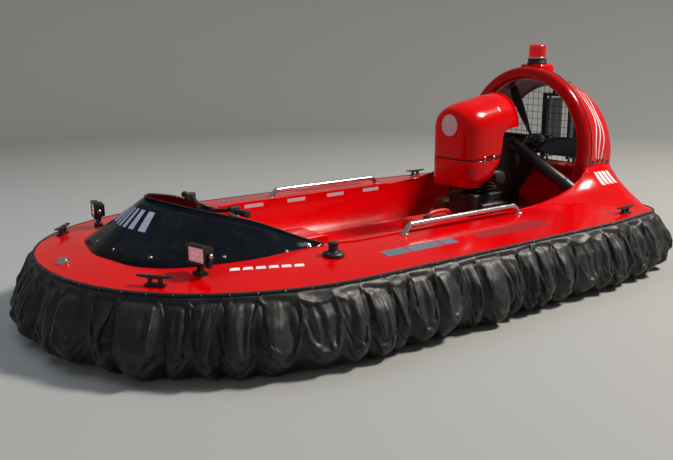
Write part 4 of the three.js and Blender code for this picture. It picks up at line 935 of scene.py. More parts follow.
def screen_curves(steps=8):
    """The screen's foot line and top line from the port tip round the bow to the starboard tip."""
    rows = SCREEN_ROWS + [(a, -b, c, -d, e) for a, b, c, d, e in reversed(SCREEN_ROWS[:-1])]
    feet = smooth_path([at(a, b, SCREEN_FOOT) for a, b, c, d, e in rows], steps)
    tops = smooth_path([at(c, d, e) for a, b, c, d, e in rows], steps)
    return feet, tops


class HOVERCRAFT_OT_windscreen(bpy.types.Operator):
    """Form the tinted windscreen and its edge trim"""
    bl_idname = "hovercraft.windscreen"
    bl_label = "Windscreen"

    def execute(self, context):
        feet, tops = screen_curves()
        bm = bmesh.new()
        rings = []
        for foot, top in zip(feet, tops):
            rise = top - foot
            sunk = min((foot.z - SCREEN_LOW) / max(rise.z, 1e-6), SCREEN_SINK)
            low = foot - rise * sunk
            rings.append([low.lerp(top, k / 6) for k in range(7)])
        add_loft(bm, rings, closed=False)
        bmesh.ops.recalc_face_normals(bm, faces=bm.faces)
        bm.faces.ensure_lookup_table()
        if bm.faces[0].normal.z < 0:
            bmesh.ops.reverse_faces(bm, faces=bm.faces)
        screen = piece("windscreen_sheet", bm, "tinted_sheet", sharp=60.0, keep_normals=True)
        thicken(screen, "sheet thickness", 0.005, "windscreen")

        bm = bmesh.new()
        add_tube(bm, [p + Vector((0, 0, 0.001)) for p in tops], 0.0048, sides=8)
        piece("windscreen_edge_trim", bm, "rubber_black")
        return {"FINISHED"}


# Fan duct: station, then radius and axis height of the outer and of the inner skin there, as in the CAD
DUCT_HEIGHT = 720
DUCT_RINGS = [(-66, 545, 720, 465, 720), (-200, 527, 693, 465, 720), (-360, 505, 660, 483, 662)]
# The rolled lip's section: radius and station
LIP_ROWS = [
    (468, -66), (466, -50), (466, -34), (469, -20), (474, -10), (481, -4), (491, 0), (503, 0), (516, 0),
    (528, 0), (538, -4), (546, -11), (551, -21), (554, -34), (554, -50), (551, -66), (548, -72), (540, -72),
    (480, -72), (468, -66),
]


def upright(station, radius, height, angle):
    """A point of an upright circle across the craft, at an angle up from port, from lengths in mm."""
    return at(station, radius * math.cos(angle), height + radius * math.sin(angle))


def duct_ring(station, radius, height, facets):
    """A ring of points round the duct at a station."""
    return [upright(station, radius, height, angle) for angle in circle(facets)]


def duct_section(station):
    """Radius and axis height of the duct's outer skin at a station."""
    a, b = DUCT_RINGS[:2] if station > DUCT_RINGS[1][0] else DUCT_RINGS[1:]
    t = (station - a[0]) / (b[0] - a[0])
    return a[1] + (b[1] - a[1]) * t, a[2] + (b[2] - a[2]) * t


class HOVERCRAFT_OT_duct(bpy.types.Operator):
    """Turn the duct's rolled lip and skin its shell"""
    bl_idname = "hovercraft.duct"
    bl_label = "Fan duct"

    def execute(self, context):
        facets = settings().facets
        centre = at(0, 0, DUCT_HEIGHT)
        bm = bmesh.new()
        profile = [(radius / 1000, station / 1000) for radius, station in LIP_ROWS]
        add_spin(bm, profile, centre, (1, 0, 0), steps=facets, side=(0, 0, 1))
        # The lip's gelcoat is painted a darker red than the rest, as painted shade
        piece("duct_lip_rolled", bm, "lip_red", "duct_lip", sharp=50.0)

        bm = bmesh.new()
        outer, inner = [], []
        for a, b in zip(DUCT_RINGS, DUCT_RINGS[1:]):
            for k in range(8):
                row = [p + (q - p) * k / 8 for p, q in zip(a, b)]
                outer.append(duct_ring(*row[:3], facets))
                inner.append(duct_ring(row[0], *row[3:], facets))
        # The rear edge is blunt: 4 mm along and 4 mm in
        station, radius, height, *rest = DUCT_RINGS[-1]
        outer.append(duct_ring(station + 4, radius, height, facets))
        outer.append(duct_ring(station, radius - 4, height, facets))
        inner.append(duct_ring(station, *rest, facets))
        add_loft(bm, outer + inner[::-1] + [outer[0]])
        bmesh.ops.recalc_face_normals(bm, faces=bm.faces)
        # Faces turned towards the axis take the barrel finish, painted dark red as painted shade inside the
        # duct
        for face in bm.faces:
            middle = face.calc_center_median()
            inward = centre - Vector((centre.x, middle.y, middle.z))
            face.material_index = 1 if face.normal.dot(inward) > 0 else 0
        piece("duct_shell_skin", bm, "gelcoat_red barrel_red", "duct_shell", sharp=40.0)
        return {"FINISHED"}


# Cowl: station, half width, bottom edge, shoulder height and crown height, as in the CAD
COWL_ROWS = [
    (728, 104, 500, 880, 985), (722, 132, 498, 880, 1004), (708, 158, 498, 880, 1018),
    (684, 180, 500, 880, 1030), (650, 196, 508, 880, 1043), (600, 206, 528, 880, 1055),
    (540, 210, 562, 880, 1064), (470, 211, 655, 880, 1077), (440, 211, 757, 880, 1083),
    (418, 211, 859, 880, 1088), (285, 208, 886, 888, 1100),
]
COWL_SEAM = 682


def cowl_ring(row, steps=40):
    """One section of the hood: up the port side, over the crown and down the other."""
    station, half, low, shoulder, crown = row
    points = [at(station, half, low + (shoulder - low) * k / 8) for k in range(8)]
    for k in range(steps + 1):
        angle = math.pi * k / steps
        points.append(at(station, half * math.cos(angle), shoulder + (crown - shoulder) * math.sin(angle)))
    points.extend(at(station, -half, low + (shoulder - low) * k / 8) for k in reversed(range(8)))
    return points


class HOVERCRAFT_OT_cowl(bpy.types.Operator):
    """Mould the engine cowl in two halves with its rear roll, seam foam and latches"""
    bl_idname = "hovercraft.cowl"
    bl_label = "Engine cowl"

    def execute(self, context):
        columns = [smooth_path([Vector((r[0], r[k], 0)) for r in COWL_ROWS], 4) for k in range(5)]
        dense = [(row[0].x, *(p.y for p in row[1:])) for row in zip(*columns)]
        whole = bmesh.new()
        add_loft(whole, [cowl_ring(row) for row in dense], closed=False)
        rim = [v for v in whole.verts if abs(v.co.x - at(COWL_ROWS[0][0]).x) < 1e-6]
        rim.sort(key=lambda v: math.atan2(v.co.y, v.co.z - 0.7))
        front = whole.faces.new(rim)
        bmesh.ops.inset_region(whole, faces=[front], thickness=0.012, depth=0.001)
        bmesh.ops.remove_doubles(whole, verts=whole.verts, dist=0.00002)
        bmesh.ops.recalc_face_normals(whole, faces=whole.faces)
        for name, keep_up in (("cowl_upper", True), ("cowl_lower", False)):
            bm = whole.copy()
            plane = at(0, 0, COWL_SEAM) + Vector((0, 0, 0.0012 if keep_up else -0.0012))
            bmesh.ops.bisect_plane(bm, geom=bm.verts[:] + bm.edges[:] + bm.faces[:], dist=0.00001,
                                   plane_co=plane, plane_no=(0, 0, 1), clear_inner=keep_up,
                                   clear_outer=not keep_up)
            hood = piece(name + "_moulding", bm, "gelcoat_red", sharp=50.0)
            thicken(hood, "laminate", 0.006, name, even=True)
        whole.free()

        bm = bmesh.new()
        add_tube(bm, [p + Vector((0.004, 0, 0)) for p in cowl_ring(COWL_ROWS[-1], 48)], 0.0065, sides=10)
        piece("cowl_rear_roll", bm, "gelcoat_red")

        # Seam line: a black strip of foam between the halves, and two latches on each side
        bm = bmesh.new()
        sides = ((1, reversed(COWL_ROWS[:8])), (-1, COWL_ROWS[:8]))
        line = [at(row[0], side * row[1], COWL_SEAM) for side, rows in sides for row in rows]
        add_tube(bm, line, 0.0030, sides=6)
        piece("cowl_seam_foam", bm, "sealant")
        bm = bmesh.new()
        for side in (-1, 1):
            for station, half in ((600, 206), (520, 210.5)):
                add_spin(bm, [(0.0, 0.007), (0.005, 0.007), (0.009, 0.004), (0.011, 0.0), (0.0, -0.001)],
                         at(station, side * half, COWL_SEAM + 16), (0, side, 0), steps=16)
                add_box(bm, at(station - 5, side * half - 2, COWL_SEAM - 26),
                        at(station + 5, side * half + 3, COWL_SEAM + 14), edge=0.0015)
        piece("cowl_toggle_latches", bm, "stainless")
        return {"FINISHED"}


# Guard in mm: station, radius, axis height and the level that its wires start from. Wire radii in metres
GUARD_STATION, GUARD_RADIUS, GUARD_AXIS, GUARD_LOW = -354, 476, 663, 580
WIRE_RADIUS, HOOP_RADIUS = 0.0017, 0.0042


def guard_point(share, floor_angle):
    """A point on the guard's hoop and its angle, at a share of the way from its port to its other foot."""
    angle = floor_angle + (math.pi - 2 * floor_angle) * share
    return upright(GUARD_STATION, GUARD_RADIUS, GUARD_AXIS, angle), angle


class HOVERCRAFT_OT_guard(bpy.types.Operator):
    """Weave the wire guard over the duct's rear"""
    bl_idname = "hovercraft.guard"
    bl_label = "Fan guard"

    def execute(self, context):
        pitch = settings().mesh_pitch * 1000
        bm = bmesh.new()
        steps = int(GUARD_RADIUS // pitch)
        for k in range(-steps, steps + 1):
            y = k * pitch
            top = GUARD_AXIS + math.sqrt(max(GUARD_RADIUS ** 2 - y ** 2, 0.0))
            if top > GUARD_LOW + 10:
                station = GUARD_STATION - 1.6
                add_rod(bm, at(station, y, GUARD_LOW), at(station, y, top), WIRE_RADIUS, sides=6)
        z = GUARD_LOW + pitch
        while z < GUARD_AXIS + GUARD_RADIUS - 4:
            y = math.sqrt(max(GUARD_RADIUS ** 2 - (z - GUARD_AXIS) ** 2, 0.0))
            add_rod(bm, at(GUARD_STATION + 1.6, -y, z), at(GUARD_STATION + 1.6, y, z), WIRE_RADIUS, sides=6)
            z += pitch
        floor_angle = math.asin((GUARD_LOW - GUARD_AXIS) / GUARD_RADIUS)
        arc = [guard_point(k / 72, floor_angle)[0] for k in range(73)]
        add_tube(bm, arc, HOOP_RADIUS, sides=8)
        add_rod(bm, arc[0], arc[-1], HOOP_RADIUS, sides=8)
        piece("duct_guard_mesh", bm, "black_metal", "duct_guard")
        bm = bmesh.new()
        for k in range(9):
            spot, angle = guard_point((k + 0.5) / 9, floor_angle)
            out = Vector((0, math.cos(angle), math.sin(angle)))
            half = Vector((0.007, 0.006, 0.006))
            add_box(bm, spot - half, spot + half, edge=0.0015)
            add_rod(bm, spot - out * 0.006, spot + out * 0.004, 0.0032, sides=10)
        piece("guard_clips", bm, "stainless")
        return {"FINISHED"}


def screen_point(feet, tops, share, rise, lift=0.0):
    """A point on the windscreen's outside and its direction: share runs from the port to the starboard tip,
    rise from foot to top."""
    place = share * (len(feet) - 1)
    i = min(int(place), len(feet) - 2)
    f = place - i
    foot, top = feet[i].lerp(feet[i + 1], f), tops[i].lerp(tops[i + 1], f)
    along = feet[i + 1] - feet[i]
    out = along.cross(top - foot).normalized()
    if out.z < 0:
        out = -out
    return foot.lerp(top, rise) + out * lift, out


class HOVERCRAFT_OT_screen_fittings(bpy.types.Operator):
    """Fix the windscreen with screws and a latch at each tip, and lay plain bars along its top"""
    bl_idname = "hovercraft.screen_fittings"
    bl_label = "Windscreen fittings"

    def execute(self, context):
        feet, tops = screen_curves()
        bm = bmesh.new()
        for share in (0.09, 0.2, 0.315, 0.425, 0.575, 0.685, 0.8, 0.91):
            spot, out = screen_point(feet, tops, share, 0.09)
            add_spin(bm, [(0.0, 0.0016), (0.0085, 0.0012), (0.0095, 0.0), (0.0095, -0.002), (0.0, -0.002)],
                     spot, out, steps=20)
            add_screw(bm, spot + out * 0.0012, out, 0.0055, 0.0030)
        piece("windscreen_screws", bm, "stainless")

        # Over-centre latch near each tip: base plate, lever and loop
        bm = bmesh.new()
        for share, side in ((0.055, 1), (0.945, -1)):
            spot, out = screen_point(feet, tops, share, 0.45, 0.001)
            along = (screen_point(feet, tops, share + 0.01 * side, 0.45)[0] - spot).normalized()
            across = out.cross(along)
            turn = Matrix((along, across, out)).transposed()
            moved(bm, add_box(bm, (-0.030, -0.013, -0.001), (0.030, 0.013, 0.002), edge=0.001), turn, spot)
            moved(bm, add_box(bm, (-0.024, -0.008, 0.004), (0.020, 0.008, 0.011), edge=0.003), turn, spot)
            level = spot + out * 0.006
            half = ((0.018, -0.010), (0.040, -0.010), (0.046, -0.005))
            loop = [level + along * x + across * y for x, y in half]
            loop += [level + along * x - across * y for x, y in half[::-1]]
            add_tube(bm, smooth_path(loop, 4), 0.0018, sides=8)
            add_rod(bm, level - across * 0.014, level + across * 0.014, 0.004, sides=14)
        piece("windscreen_latches", bm, "chrome")

        # Plain slanting bars in place of words, printed along the upper half of the screen
        bm = bmesh.new()
        for k in range(-3, 3):
            middle = 0.5 + (k + 0.5) * 0.047
            for v in bmesh.ops.create_grid(bm, x_segments=6, y_segments=8, size=0.5)["verts"]:
                share = middle + v.co.x * 0.026 + v.co.y * 0.010
                v.co = screen_point(feet, tops, share, 0.63 + v.co.y * 0.34, 0.0007)[0]
        piece("windscreen_bars", bm, "blue_vinyl")
        return {"FINISHED"}


def duct_skin(station, angle, lift=0.0):
    """A point on the duct's outside at a station and an angle up from the port side."""
    radius, height = duct_section(station)
    return upright(station, radius + lift * 1000, height, angle)


# Height in mm that patches drop onto the deck from
DECK_LEVEL = 440
# Grey wear patches and a darker crimson band on the side decks: finish, faces across, and each port patch's
# corners, station and Y
SIDE_DECK_PATCHES = {
    "side_deck_patches_grey": ("grey_patch", 8, [
        [(start, 828), (stop, 828), (stop + 8, 908), (start + 8, 908)]
        for start, stop in ((2020, 1868), (1855, 1640), (1628, 1530))]),
    "side_deck_patches_crimson": ("crimson_patch", 16, [[(1352, 822), (800, 822), (810, 925), (1392, 925)]]),
}


class HOVERCRAFT_OT_markings(bpy.types.Operator):
    """Lay the plain bars, grey wear patches, a darker crimson band, reflective strips and waving lines on the
    mouldings
    """
    bl_idname = "hovercraft.markings"
    bl_label = "Plain markings"

    def execute(self, context):
        deck = surface_of("deck_moulding")
        tub = surface_of("cockpit_tub")

        # Bars on the deck beside the windscreen and on the fairings
        bm = bmesh.new()
        for side in (1, -1):
            start, stop = Vector((2785, 658)), Vector((2452, 802))
            along = (stop - start).normalized()
            across = Vector((-along.y, along.x)) * 17
            for k in range(6):
                a = start + (stop - start) * (k / 6 + 0.01)
                b = a + along * 42
                corners = [a - across, b - across + along * 7, b + across + along * 7, a + across + along * 7]
                add_patch(bm, deck, [at(p.x, p.y * side, DECK_LEVEL) for p in corners], across=4, along=4)
            for k in range(4):
                low = -58 - k * 42
                corners = [at(low, side * 655, 500), at(low - 26, side * 665, 500),
                           at(low - 44, side * 590, 590), at(low - 16, side * 580, 590)]
                add_patch(bm, deck, corners, (0, -0.62 * side, -0.78), across=4, along=6)
        piece("deck_bars_white", bm, "white_vinyl")

        for name, (finish_name, across, patches) in SIDE_DECK_PATCHES.items():
            bm = bmesh.new()
            for side in (1, -1):
                for corners in patches:
                    add_patch(bm, deck, [at(x, side * y, DECK_LEVEL) for x, y in corners], across=across)
            piece(name, bm, finish_name)

        # Reflective strips high on the cockpit's walls
        bm = bmesh.new()
        for side in (1, -1):
            for middle in (1890, 1555, 1225, 905):
                corners = [at(middle + x, side * 560, z)
                           for x, z in ((-72, 396), (72, 396), (72, 420), (-72, 420))]
                add_patch(bm, tub, corners, (0, side, 0), along=2, reach=0.1)
        piece("reflective_strips", bm, "reflective_tape")

        # A plain design of three waving lines round the duct's sides
        bm = bmesh.new()
        for side in (1, -1):
            for k in range(3):
                rings = []
                for i in range(61):
                    t = i / 60
                    angle = math.radians(-4 + 58 * t)
                    middle = -150 - 44 * k - 34 * t + 16 * math.sin(t * 9.4 + k * 0.8)
                    width = 4.5 + 3.5 * math.sin(t * math.pi) ** 2
                    ring = [duct_skin(middle + s * width, angle, 0.0007) for s in (1, 0, -1)]
                    rings.append([Vector((p.x, p.y * side, p.z)) for p in ring])
                add_loft(bm, rings, closed=False)
        piece("duct_wave_lines", bm, "white_vinyl")
        return {"FINISHED"}


def add_hex(bm, place, turn, radius, end_radius, depth):
    """A hexagonal bolt head with its middle at a place."""
    made = bmesh.ops.create_cone(bm, cap_ends=True, segments=6, radius1=radius, radius2=end_radius,
                                 depth=depth)["verts"]
    moved(bm, made, turn, place)


class HOVERCRAFT_OT_duct_trim(bpy.types.Operator):
    """Bed the duct on the fairings with a bead and bolts, and close the groove behind the lip"""
    bl_idname = "hovercraft.duct_trim"
    bl_label = "Duct trim"

    def execute(self, context):
        bm = bmesh.new()
        for side in (1, -1):
            points = []
            for station, z in ((-70, 623), (-110, 624), (-200, 623), (-262, 621), (-320, 613), (-352, 601)):
                radius, axis = duct_section(station)
                points.append(at(station, side * (math.sqrt(radius ** 2 - (z - axis) ** 2) + 1.5), z))
            add_tube(bm, smooth_path(points, 6), 0.0042, sides=10)
        add_tube(bm, duct_ring(-68.5, 551, DUCT_HEIGHT, 128), 0.0042, sides=8, closed=True)
        piece("duct_sealant", bm, "sealant")

        bm = bmesh.new()
        for side in (1, -1):
            for station, z in ((-112, 645), (-178, 645), (-244, 645), (-310, 632)):
                radius, axis = duct_section(station)
                y = math.sqrt(radius ** 2 - (z - axis) ** 2)
                out = Vector((0, side * y, z - axis)).normalized()
                spot = at(station, side * y, z)
                add_spin(bm, [(0.0, 0.002), (0.011, 0.0015), (0.012, 0.0), (0.0, -0.001)], spot, out,
                         steps=20)
                turn = out.to_track_quat("Z", "Y").to_matrix()
                add_hex(bm, spot + out * 0.0045, turn, 0.0072, 0.0068, 0.006)
        piece("duct_bolts", bm, "black_metal", sharp=25.0)
        return {"FINISHED"}


# Fan blade rows: radius, chord, pitch angle in degrees and thickness, as in the CAD
BLADE_ROWS = [(60, 104, 48, 18), (130, 136, 41, 16), (220, 150, 34, 13), (330, 142, 27, 10),
              (415, 122, 22, 7), (452, 92, 20, 5)]
# Rings that round the blade's tip: share of the last row, and radius
BLADE_TIP = ((0.93, 458.5), (0.72, 462.0), (0.35, 463.5))
FAN_STATION, FAN_BLADES, FIRST_BLADE = -150, 3, 30


def blade_ring(radius, chord, lean, thick, points=22):
    """One section of a blade that points up from the fan's axis."""
    out = []
    for a in circle(points):
        body = math.sin(a) * (0.5 if math.sin(a) > 0 else 0.3) * (1.0 - 0.35 * math.cos(a))
        u, w = 0.5 * math.cos(a) * chord, body * thick
        out.append(Vector(((u * math.sin(lean) + w * math.cos(lean)) / 1000,
                           (u * math.cos(lean) - w * math.sin(lean)) / 1000, radius / 1000)))
    return out


class HOVERCRAFT_OT_fan(bpy.types.Operator):
    """Mould the fan's blades and turn its hub"""
    bl_idname = "hovercraft.fan"
    bl_label = "Fan"

    def execute(self, context):
        centre = at(FAN_STATION, 0, DUCT_HEIGHT)
        bm = bmesh.new()
        columns = [smooth_path([Vector((r[0], r[k], 0)) for r in BLADE_ROWS], 6) for k in range(4)]
        rings = [blade_ring(radius.x, chord.y, math.radians(lean.y), thick.y)
                 for radius, chord, lean, thick in zip(*columns)]
        for shrink, radius in BLADE_TIP:
            rings.append([Vector((p.x * shrink, p.y * shrink, radius / 1000)) for p in rings[-1]])
        for k in range(FAN_BLADES):
            turn = Matrix.Rotation(math.radians(FIRST_BLADE + 360 * k / FAN_BLADES), 3, "X")
            moved(bm, add_loft(bm, rings, caps=True), turn, centre)
        profile = [(0.0, 0.064), (0.020, 0.064), (0.034, 0.061), (0.042, 0.052), (0.044, 0.044),
                   (0.070, 0.042), (0.074, 0.038), (0.074, -0.038), (0.070, -0.042), (0.0, -0.042)]
        add_spin(bm, profile, centre, (1, 0, 0), steps=48)
        add_rod(bm, at(-279, 0, DUCT_HEIGHT), at(91, 0, DUCT_HEIGHT), 0.021, sides=24)
        piece("fan_moulded", bm, "blade_composite", "fan", body="fan", sharp=32.0)

        bm = bmesh.new()
        for a in circle(9):
            spot = centre + Vector((0.0454, 0.058 * math.cos(a), 0.058 * math.sin(a)))
            add_hex(bm, spot, Matrix.Rotation(math.pi / 2, 3, "Y"), 0.0062, 0.0058, 0.007)
        piece("fan_hub_bolts", bm, "stainless", body="fan", sharp=25.0)
        return {"FINISHED"}


def four(x, y):
    """The four corners of an upright or level rectangle about the origin."""
    return ((-x, -y), (x, -y), (-x, y), (x, y))


# Work lamps: station and Y in mm, turn outwards in degrees, height of the lens's middle in metres
LAMP_STATION, LAMP_Y, LAMP_TURN, LAMP_MIDDLE = 2918, 640, 12, 0.506
# Profiles of one diode's lens and of a knob
DIODE = [(0.0, 0.0052), (0.0045, 0.0046), (0.0082, 0.0022), (0.0094, 0.0), (0.0, -0.001)]
KNOB = [(0.0, 0.006), (0.008, 0.006), (0.0115, 0.003), (0.0115, -0.003), (0.0, -0.003)]


class HOVERCRAFT_OT_lamps(bpy.types.Operator):
    """Fit each work lamp's lens, its rows of diodes, its bezel, cooling fins and knobs"""
    bl_idname = "hovercraft.lamps"
    bl_label = "Work lamps"

    def execute(self, context):
        lens, rim, metal = bmesh.new(), bmesh.new(), bmesh.new()
        for side in (1, -1):
            start = {bm: set(bm.verts) for bm in (lens, rim, metal)}
            add_box(lens, (0.0163, -0.0565, 0.4695), (0.0195, 0.0565, 0.5425), edge=0.002)
            for row in (-1, 0, 1):
                for column in range(-2, 3):
                    add_spin(lens, DIODE, (0.0193, column * 0.0215, LAMP_MIDDLE + row * 0.0232), (1, 0, 0),
                             steps=16)
            for y, z, end_y, end_z in ((-0.066, 0.540, 0.066, 0.552), (-0.066, 0.460, 0.066, 0.472),
                                       (0.055, 0.468, 0.066, 0.544), (-0.066, 0.468, -0.055, 0.544)):
                add_box(rim, (0.018, y, z), (0.0265, end_y, end_z), edge=0.0025, segments=3)
            for k in range(-5, 6):
                y = k * 0.0108
                add_box(rim, (-0.034, y - 0.0016, 0.474), (-0.020, y + 0.0016, 0.540), edge=0.0008)
            for out in (-1, 1):
                add_spin(metal, KNOB, (0.0, out * 0.078, LAMP_MIDDLE), (0, out, 0), steps=16)
            for x, y in four(0.014, 0.022):
                add_screw(metal, (x, y, 0.427), (0, 0, 1), 0.0048, 0.0028)
            for y, z in four(0.060, 0.040):
                add_screw(metal, (0.0265, y, LAMP_MIDDLE + z), (1, 0, 0), 0.0032, 0.0016)
            turn = Matrix.Rotation(math.radians(side * LAMP_TURN), 3, "Z")
            for bm in (lens, rim, metal):
                moved(bm, [v for v in bm.verts if v not in start[bm]], turn, at(LAMP_STATION, side * LAMP_Y))
        piece("lamp_lenses", lens, "lamp_lens")
        piece("lamp_bezels", rim, "lamp_housing")
        piece("lamp_screws", metal, "stainless")
        return {"FINISHED"}


CLEATS = ("cleat_bow_port", "cleat_bow_starboard", "cleat_stern_port", "cleat_stern_starboard")
# Cleats: station, Y and turn in degrees
CLEAT_PLACES = ((3130, 622, 130), (3130, -622, -130), (140, 972, 3), (140, -972, -3))
RAIL_FEET, RAIL_Y = (800, 1720), 674
SOCKET_PLACE = (2260, 762)
RIVET_PITCH = 0.12


class HOVERCRAFT_OT_deck_fittings(bpy.types.Operator):
    """Screw down the rails, cleats and socket, ring the bow light with a collar, and rivet the rub rail"""
    bl_idname = "hovercraft.deck_fittings"
    bl_label = "Deck fittings"

    def execute(self, context):
        screws = bmesh.new()
        for side in (1, -1):
            for station in RAIL_FEET:
                for angle in circle(3, 0.5):
                    spot = at(station, side * RAIL_Y, 434) + polar(angle, 0.021)
                    add_screw(screws, spot, (0, 0, 1), 0.0038)
        cleats = surface_of(*CLEATS)
        for station, y, turn in CLEAT_PLACES:
            angle = math.radians(turn)
            for reach in (-0.040, 0.040):
                spot = at(station, y, 500) + polar(angle, reach)
                add_screw(screws, *dropped(cleats, spot), 0.0050, 0.0026)
        socket = surface_of("deck_socket")
        for angle in circle(4, 0.4):
            spot = at(*SOCKET_PLACE, 600) + polar(angle, 0.043)
            add_screw(screws, *dropped(socket, spot), 0.0042, 0.0024)
        piece("fitting_screws", screws, "stainless")

        # Pop rivets that hold the rub rail
        rivets = bmesh.new()
        count = int(2 * HALF_PERIMETER / RIVET_PITCH)
        for k in range(count):
            d = k * 2 * HALF_PERIMETER / count
            p, out = rim_at(d), rim_out(d)
            spot = Vector((p.x + out.x * 0.0108, p.y + out.y * 0.0108, 0.3797))
            add_spin(rivets, [(0.0, 0.0018), (0.0024, 0.0014), (0.0034, 0.0), (0.0, -0.001)], spot,
                     (out.x, out.y, 0), steps=8)
        piece("rub_rail_rivets", rivets, "stainless")

        # Collar of the bow light
        bm = bmesh.new()
        add_spin(bm, [(0.0285, 0.006), (0.0335, 0.0055), (0.0338, 0.002), (0.0300, 0.0), (0.0285, 0.006)],
                 at(3330, 0, 399.5), steps=40)
        piece("bow_light_collar", bm, "chrome")
        return {"FINISHED"}


BEACON_STATION = -132


class HOVERCRAFT_OT_beacon(bpy.types.Operator):
    """Rib the beacon's lens and fit its band and screws"""
    bl_idname = "hovercraft.beacon"
    bl_label = "Beacon"

    def execute(self, context):
        centre = at(BEACON_STATION)
        bm = bmesh.new()
        rows = [(0.0, 1.3335), (0.0620, 1.3335), (0.0620, 1.342)]
        for k in range(9):
            z = 1.345 + k * 0.0072
            rows += [(0.0600, z), (0.0612, z + 0.0024), (0.0600, z + 0.0048)]
        rows += [(0.0585, 1.4120), (0.0560, 1.4190), (0.0500, 1.4245), (0.0400, 1.4268), (0.0, 1.4270)]
        add_spin(bm, rows, centre, steps=56)
        piece("beacon_lens", bm, "beacon_red", "beacon_dome", sharp=60.0)
        bm = bmesh.new()
        add_spin(bm, [(0.0648, 1.3300), (0.0668, 1.3305), (0.0668, 1.3365), (0.0622, 1.3400),
                      (0.0610, 1.3340), (0.0648, 1.3300)], centre, steps=56)
        for angle in circle(3, 0.3):
            add_screw(bm, centre + polar(angle, 0.0668, 1.3335), polar(angle, 1), 0.003, 0.0018)
        piece("beacon_band", bm, "chrome")
        return {"FINISHED"}


def copied(node, dissolved=True):
    """The CAD node's shape to be worked on as a new piece, its flat facets joined where asked."""
    source = NODES[node]
    bm = bmesh.new()
    bm.from_mesh(source.data)
    bmesh.ops.transform(bm, matrix=source.matrix_world, verts=bm.verts)
    bmesh.ops.remove_doubles(bm, verts=bm.verts, dist=0.00001)
    bmesh.ops.recalc_face_normals(bm, faces=bm.faces)
    if dissolved:
        bmesh.ops.dissolve_limit(bm, angle_limit=math.radians(1.0), verts=bm.verts, edges=bm.edges)
    return bm


def sharp_edges(bm, angle=40.0):
    """Edges between two faces that meet at more than an angle in degrees."""
    limit = math.radians(angle)
    return [e for e in bm.edges if len(e.link_faces) == 2 and e.calc_face_angle(0.0) > limit]


# Mouldings whose facets are shaded as one surface: greatest angle in degrees that stays smooth
FAIRED = {"deck_moulding": 32.0, "cockpit_tub": 17.0, "lower_hull": 17.0}


def in_rim(p):
    """Whether a point in metres lies where the deck has the cockpit's rim."""
    return p.z > 0.425 and -1.10 < p.x < 1.45 and abs(p.y) < 0.66


class HOVERCRAFT_OT_faired(bpy.types.Operator):
    """Fair the facets of the large mouldings and round the cockpit's rim and the console's corners"""
    bl_idname = "hovercraft.faired"
    bl_label = "Faired mouldings"

    def execute(self, context):
        for node, angle in FAIRED.items():
            bm = copied(node, dissolved=False)
            if node == "deck_moulding":
                bevel(bm, [e for e in sharp_edges(bm, 55.0) if all(in_rim(v.co) for v in e.verts)], 0.0045, 3)
            piece(node + "_faired", bm, FINISH_OF[node], node, sharp=angle)
        bm = copied("console")
        bevel(bm, sharp_edges(bm), 0.011, 4)
        piece("console_moulded", bm, "tub_red", "console", sharp=50.0)
        return {"FINISHED"}


# Nodes whose own shape stays, with rounded edges: edge radius in mm
SOFTENED = {
    **dict.fromkeys(CLEATS, 2.2), "lamp_port": 1.2, "lamp_starboard": 1.2, "beacon_pedestal": 4.0,
    "beacon_base": 2.0, "fan_beam": 2.0, "rudder_frame": 2.0, "engine_frame": 3.0, "belt_housing": 6.0,
    "fuel_cap": 2.5, "skid_port": 5.0, "skid_centre": 5.0, "skid_starboard": 5.0, "deck_socket": 1.6,
}


class HOVERCRAFT_OT_softened(bpy.types.Operator):
    """Round the edges of the small fittings, frames and skids"""
    bl_idname = "hovercraft.softened"
    bl_label = "Rounded fittings"

    def execute(self, context):
        for node, radius in SOFTENED.items():
            bm = copied(node)
            bevel(bm, sharp_edges(bm), radius / 1000)
            piece(node + "_shape", bm, FINISH_OF[node], node)
        return {"FINISHED"}


# Side rail's path: station and height, from one foot to the other
RAIL_PATH = [(800, 416), (806, 438), (840, 472), (890, 478), (1260, 478), (1630, 478), (1680, 472),
             (1714, 438), (1720, 416)]
# Profile of a rail's foot plate
FOOT_PLATE = [(0.0, 0.0042), (0.0255, 0.0042), (0.027, 0.0030), (0.027, -0.010), (0.0, -0.010)]


class HOVERCRAFT_OT_rails(bpy.types.Operator):
    """Bend the two side rails and weld them to their foot plates"""
    bl_idname = "hovercraft.rails"
    bl_label = "Side rails"

    def execute(self, context):
        for name, side in (("side_rail_port", 1), ("side_rail_starboard", -1)):
            bm = bmesh.new()
            add_tube(bm, smooth_path([at(x, RAIL_Y * side, z) for x, z in RAIL_PATH], 7), 0.016, sides=24)
            for station in RAIL_FEET:
                spot = at(station, RAIL_Y * side, 430)
                add_spin(bm, FOOT_PLATE, spot, steps=32)
                weld = [spot + polar(a, 0.0172, 0.0055) for a in circle(28)]
                add_tube(bm, weld, [0.0028 + 0.0004 * (k % 2) for k in range(28)], sides=8, closed=True)
            piece(name + "_tube", bm, "alloy_tube", name)
        return {"FINISHED"}


# Engine's main blocks in mm: first and last station, half width, bottom, top. Edge rounding in metres
ENGINE_BOXES = [
    (270, 600, 125, 186, 430, 0.012), (310, 560, 165, 226, 370, 0.018), (360, 520, 72, 429, 690, 0.014),
    (380, 500, 44, 689, 750, 0.012), (598, 626, 192.5, 592, 620, 0.004), (510, 612, 22, 592, 620, 0.004),
]


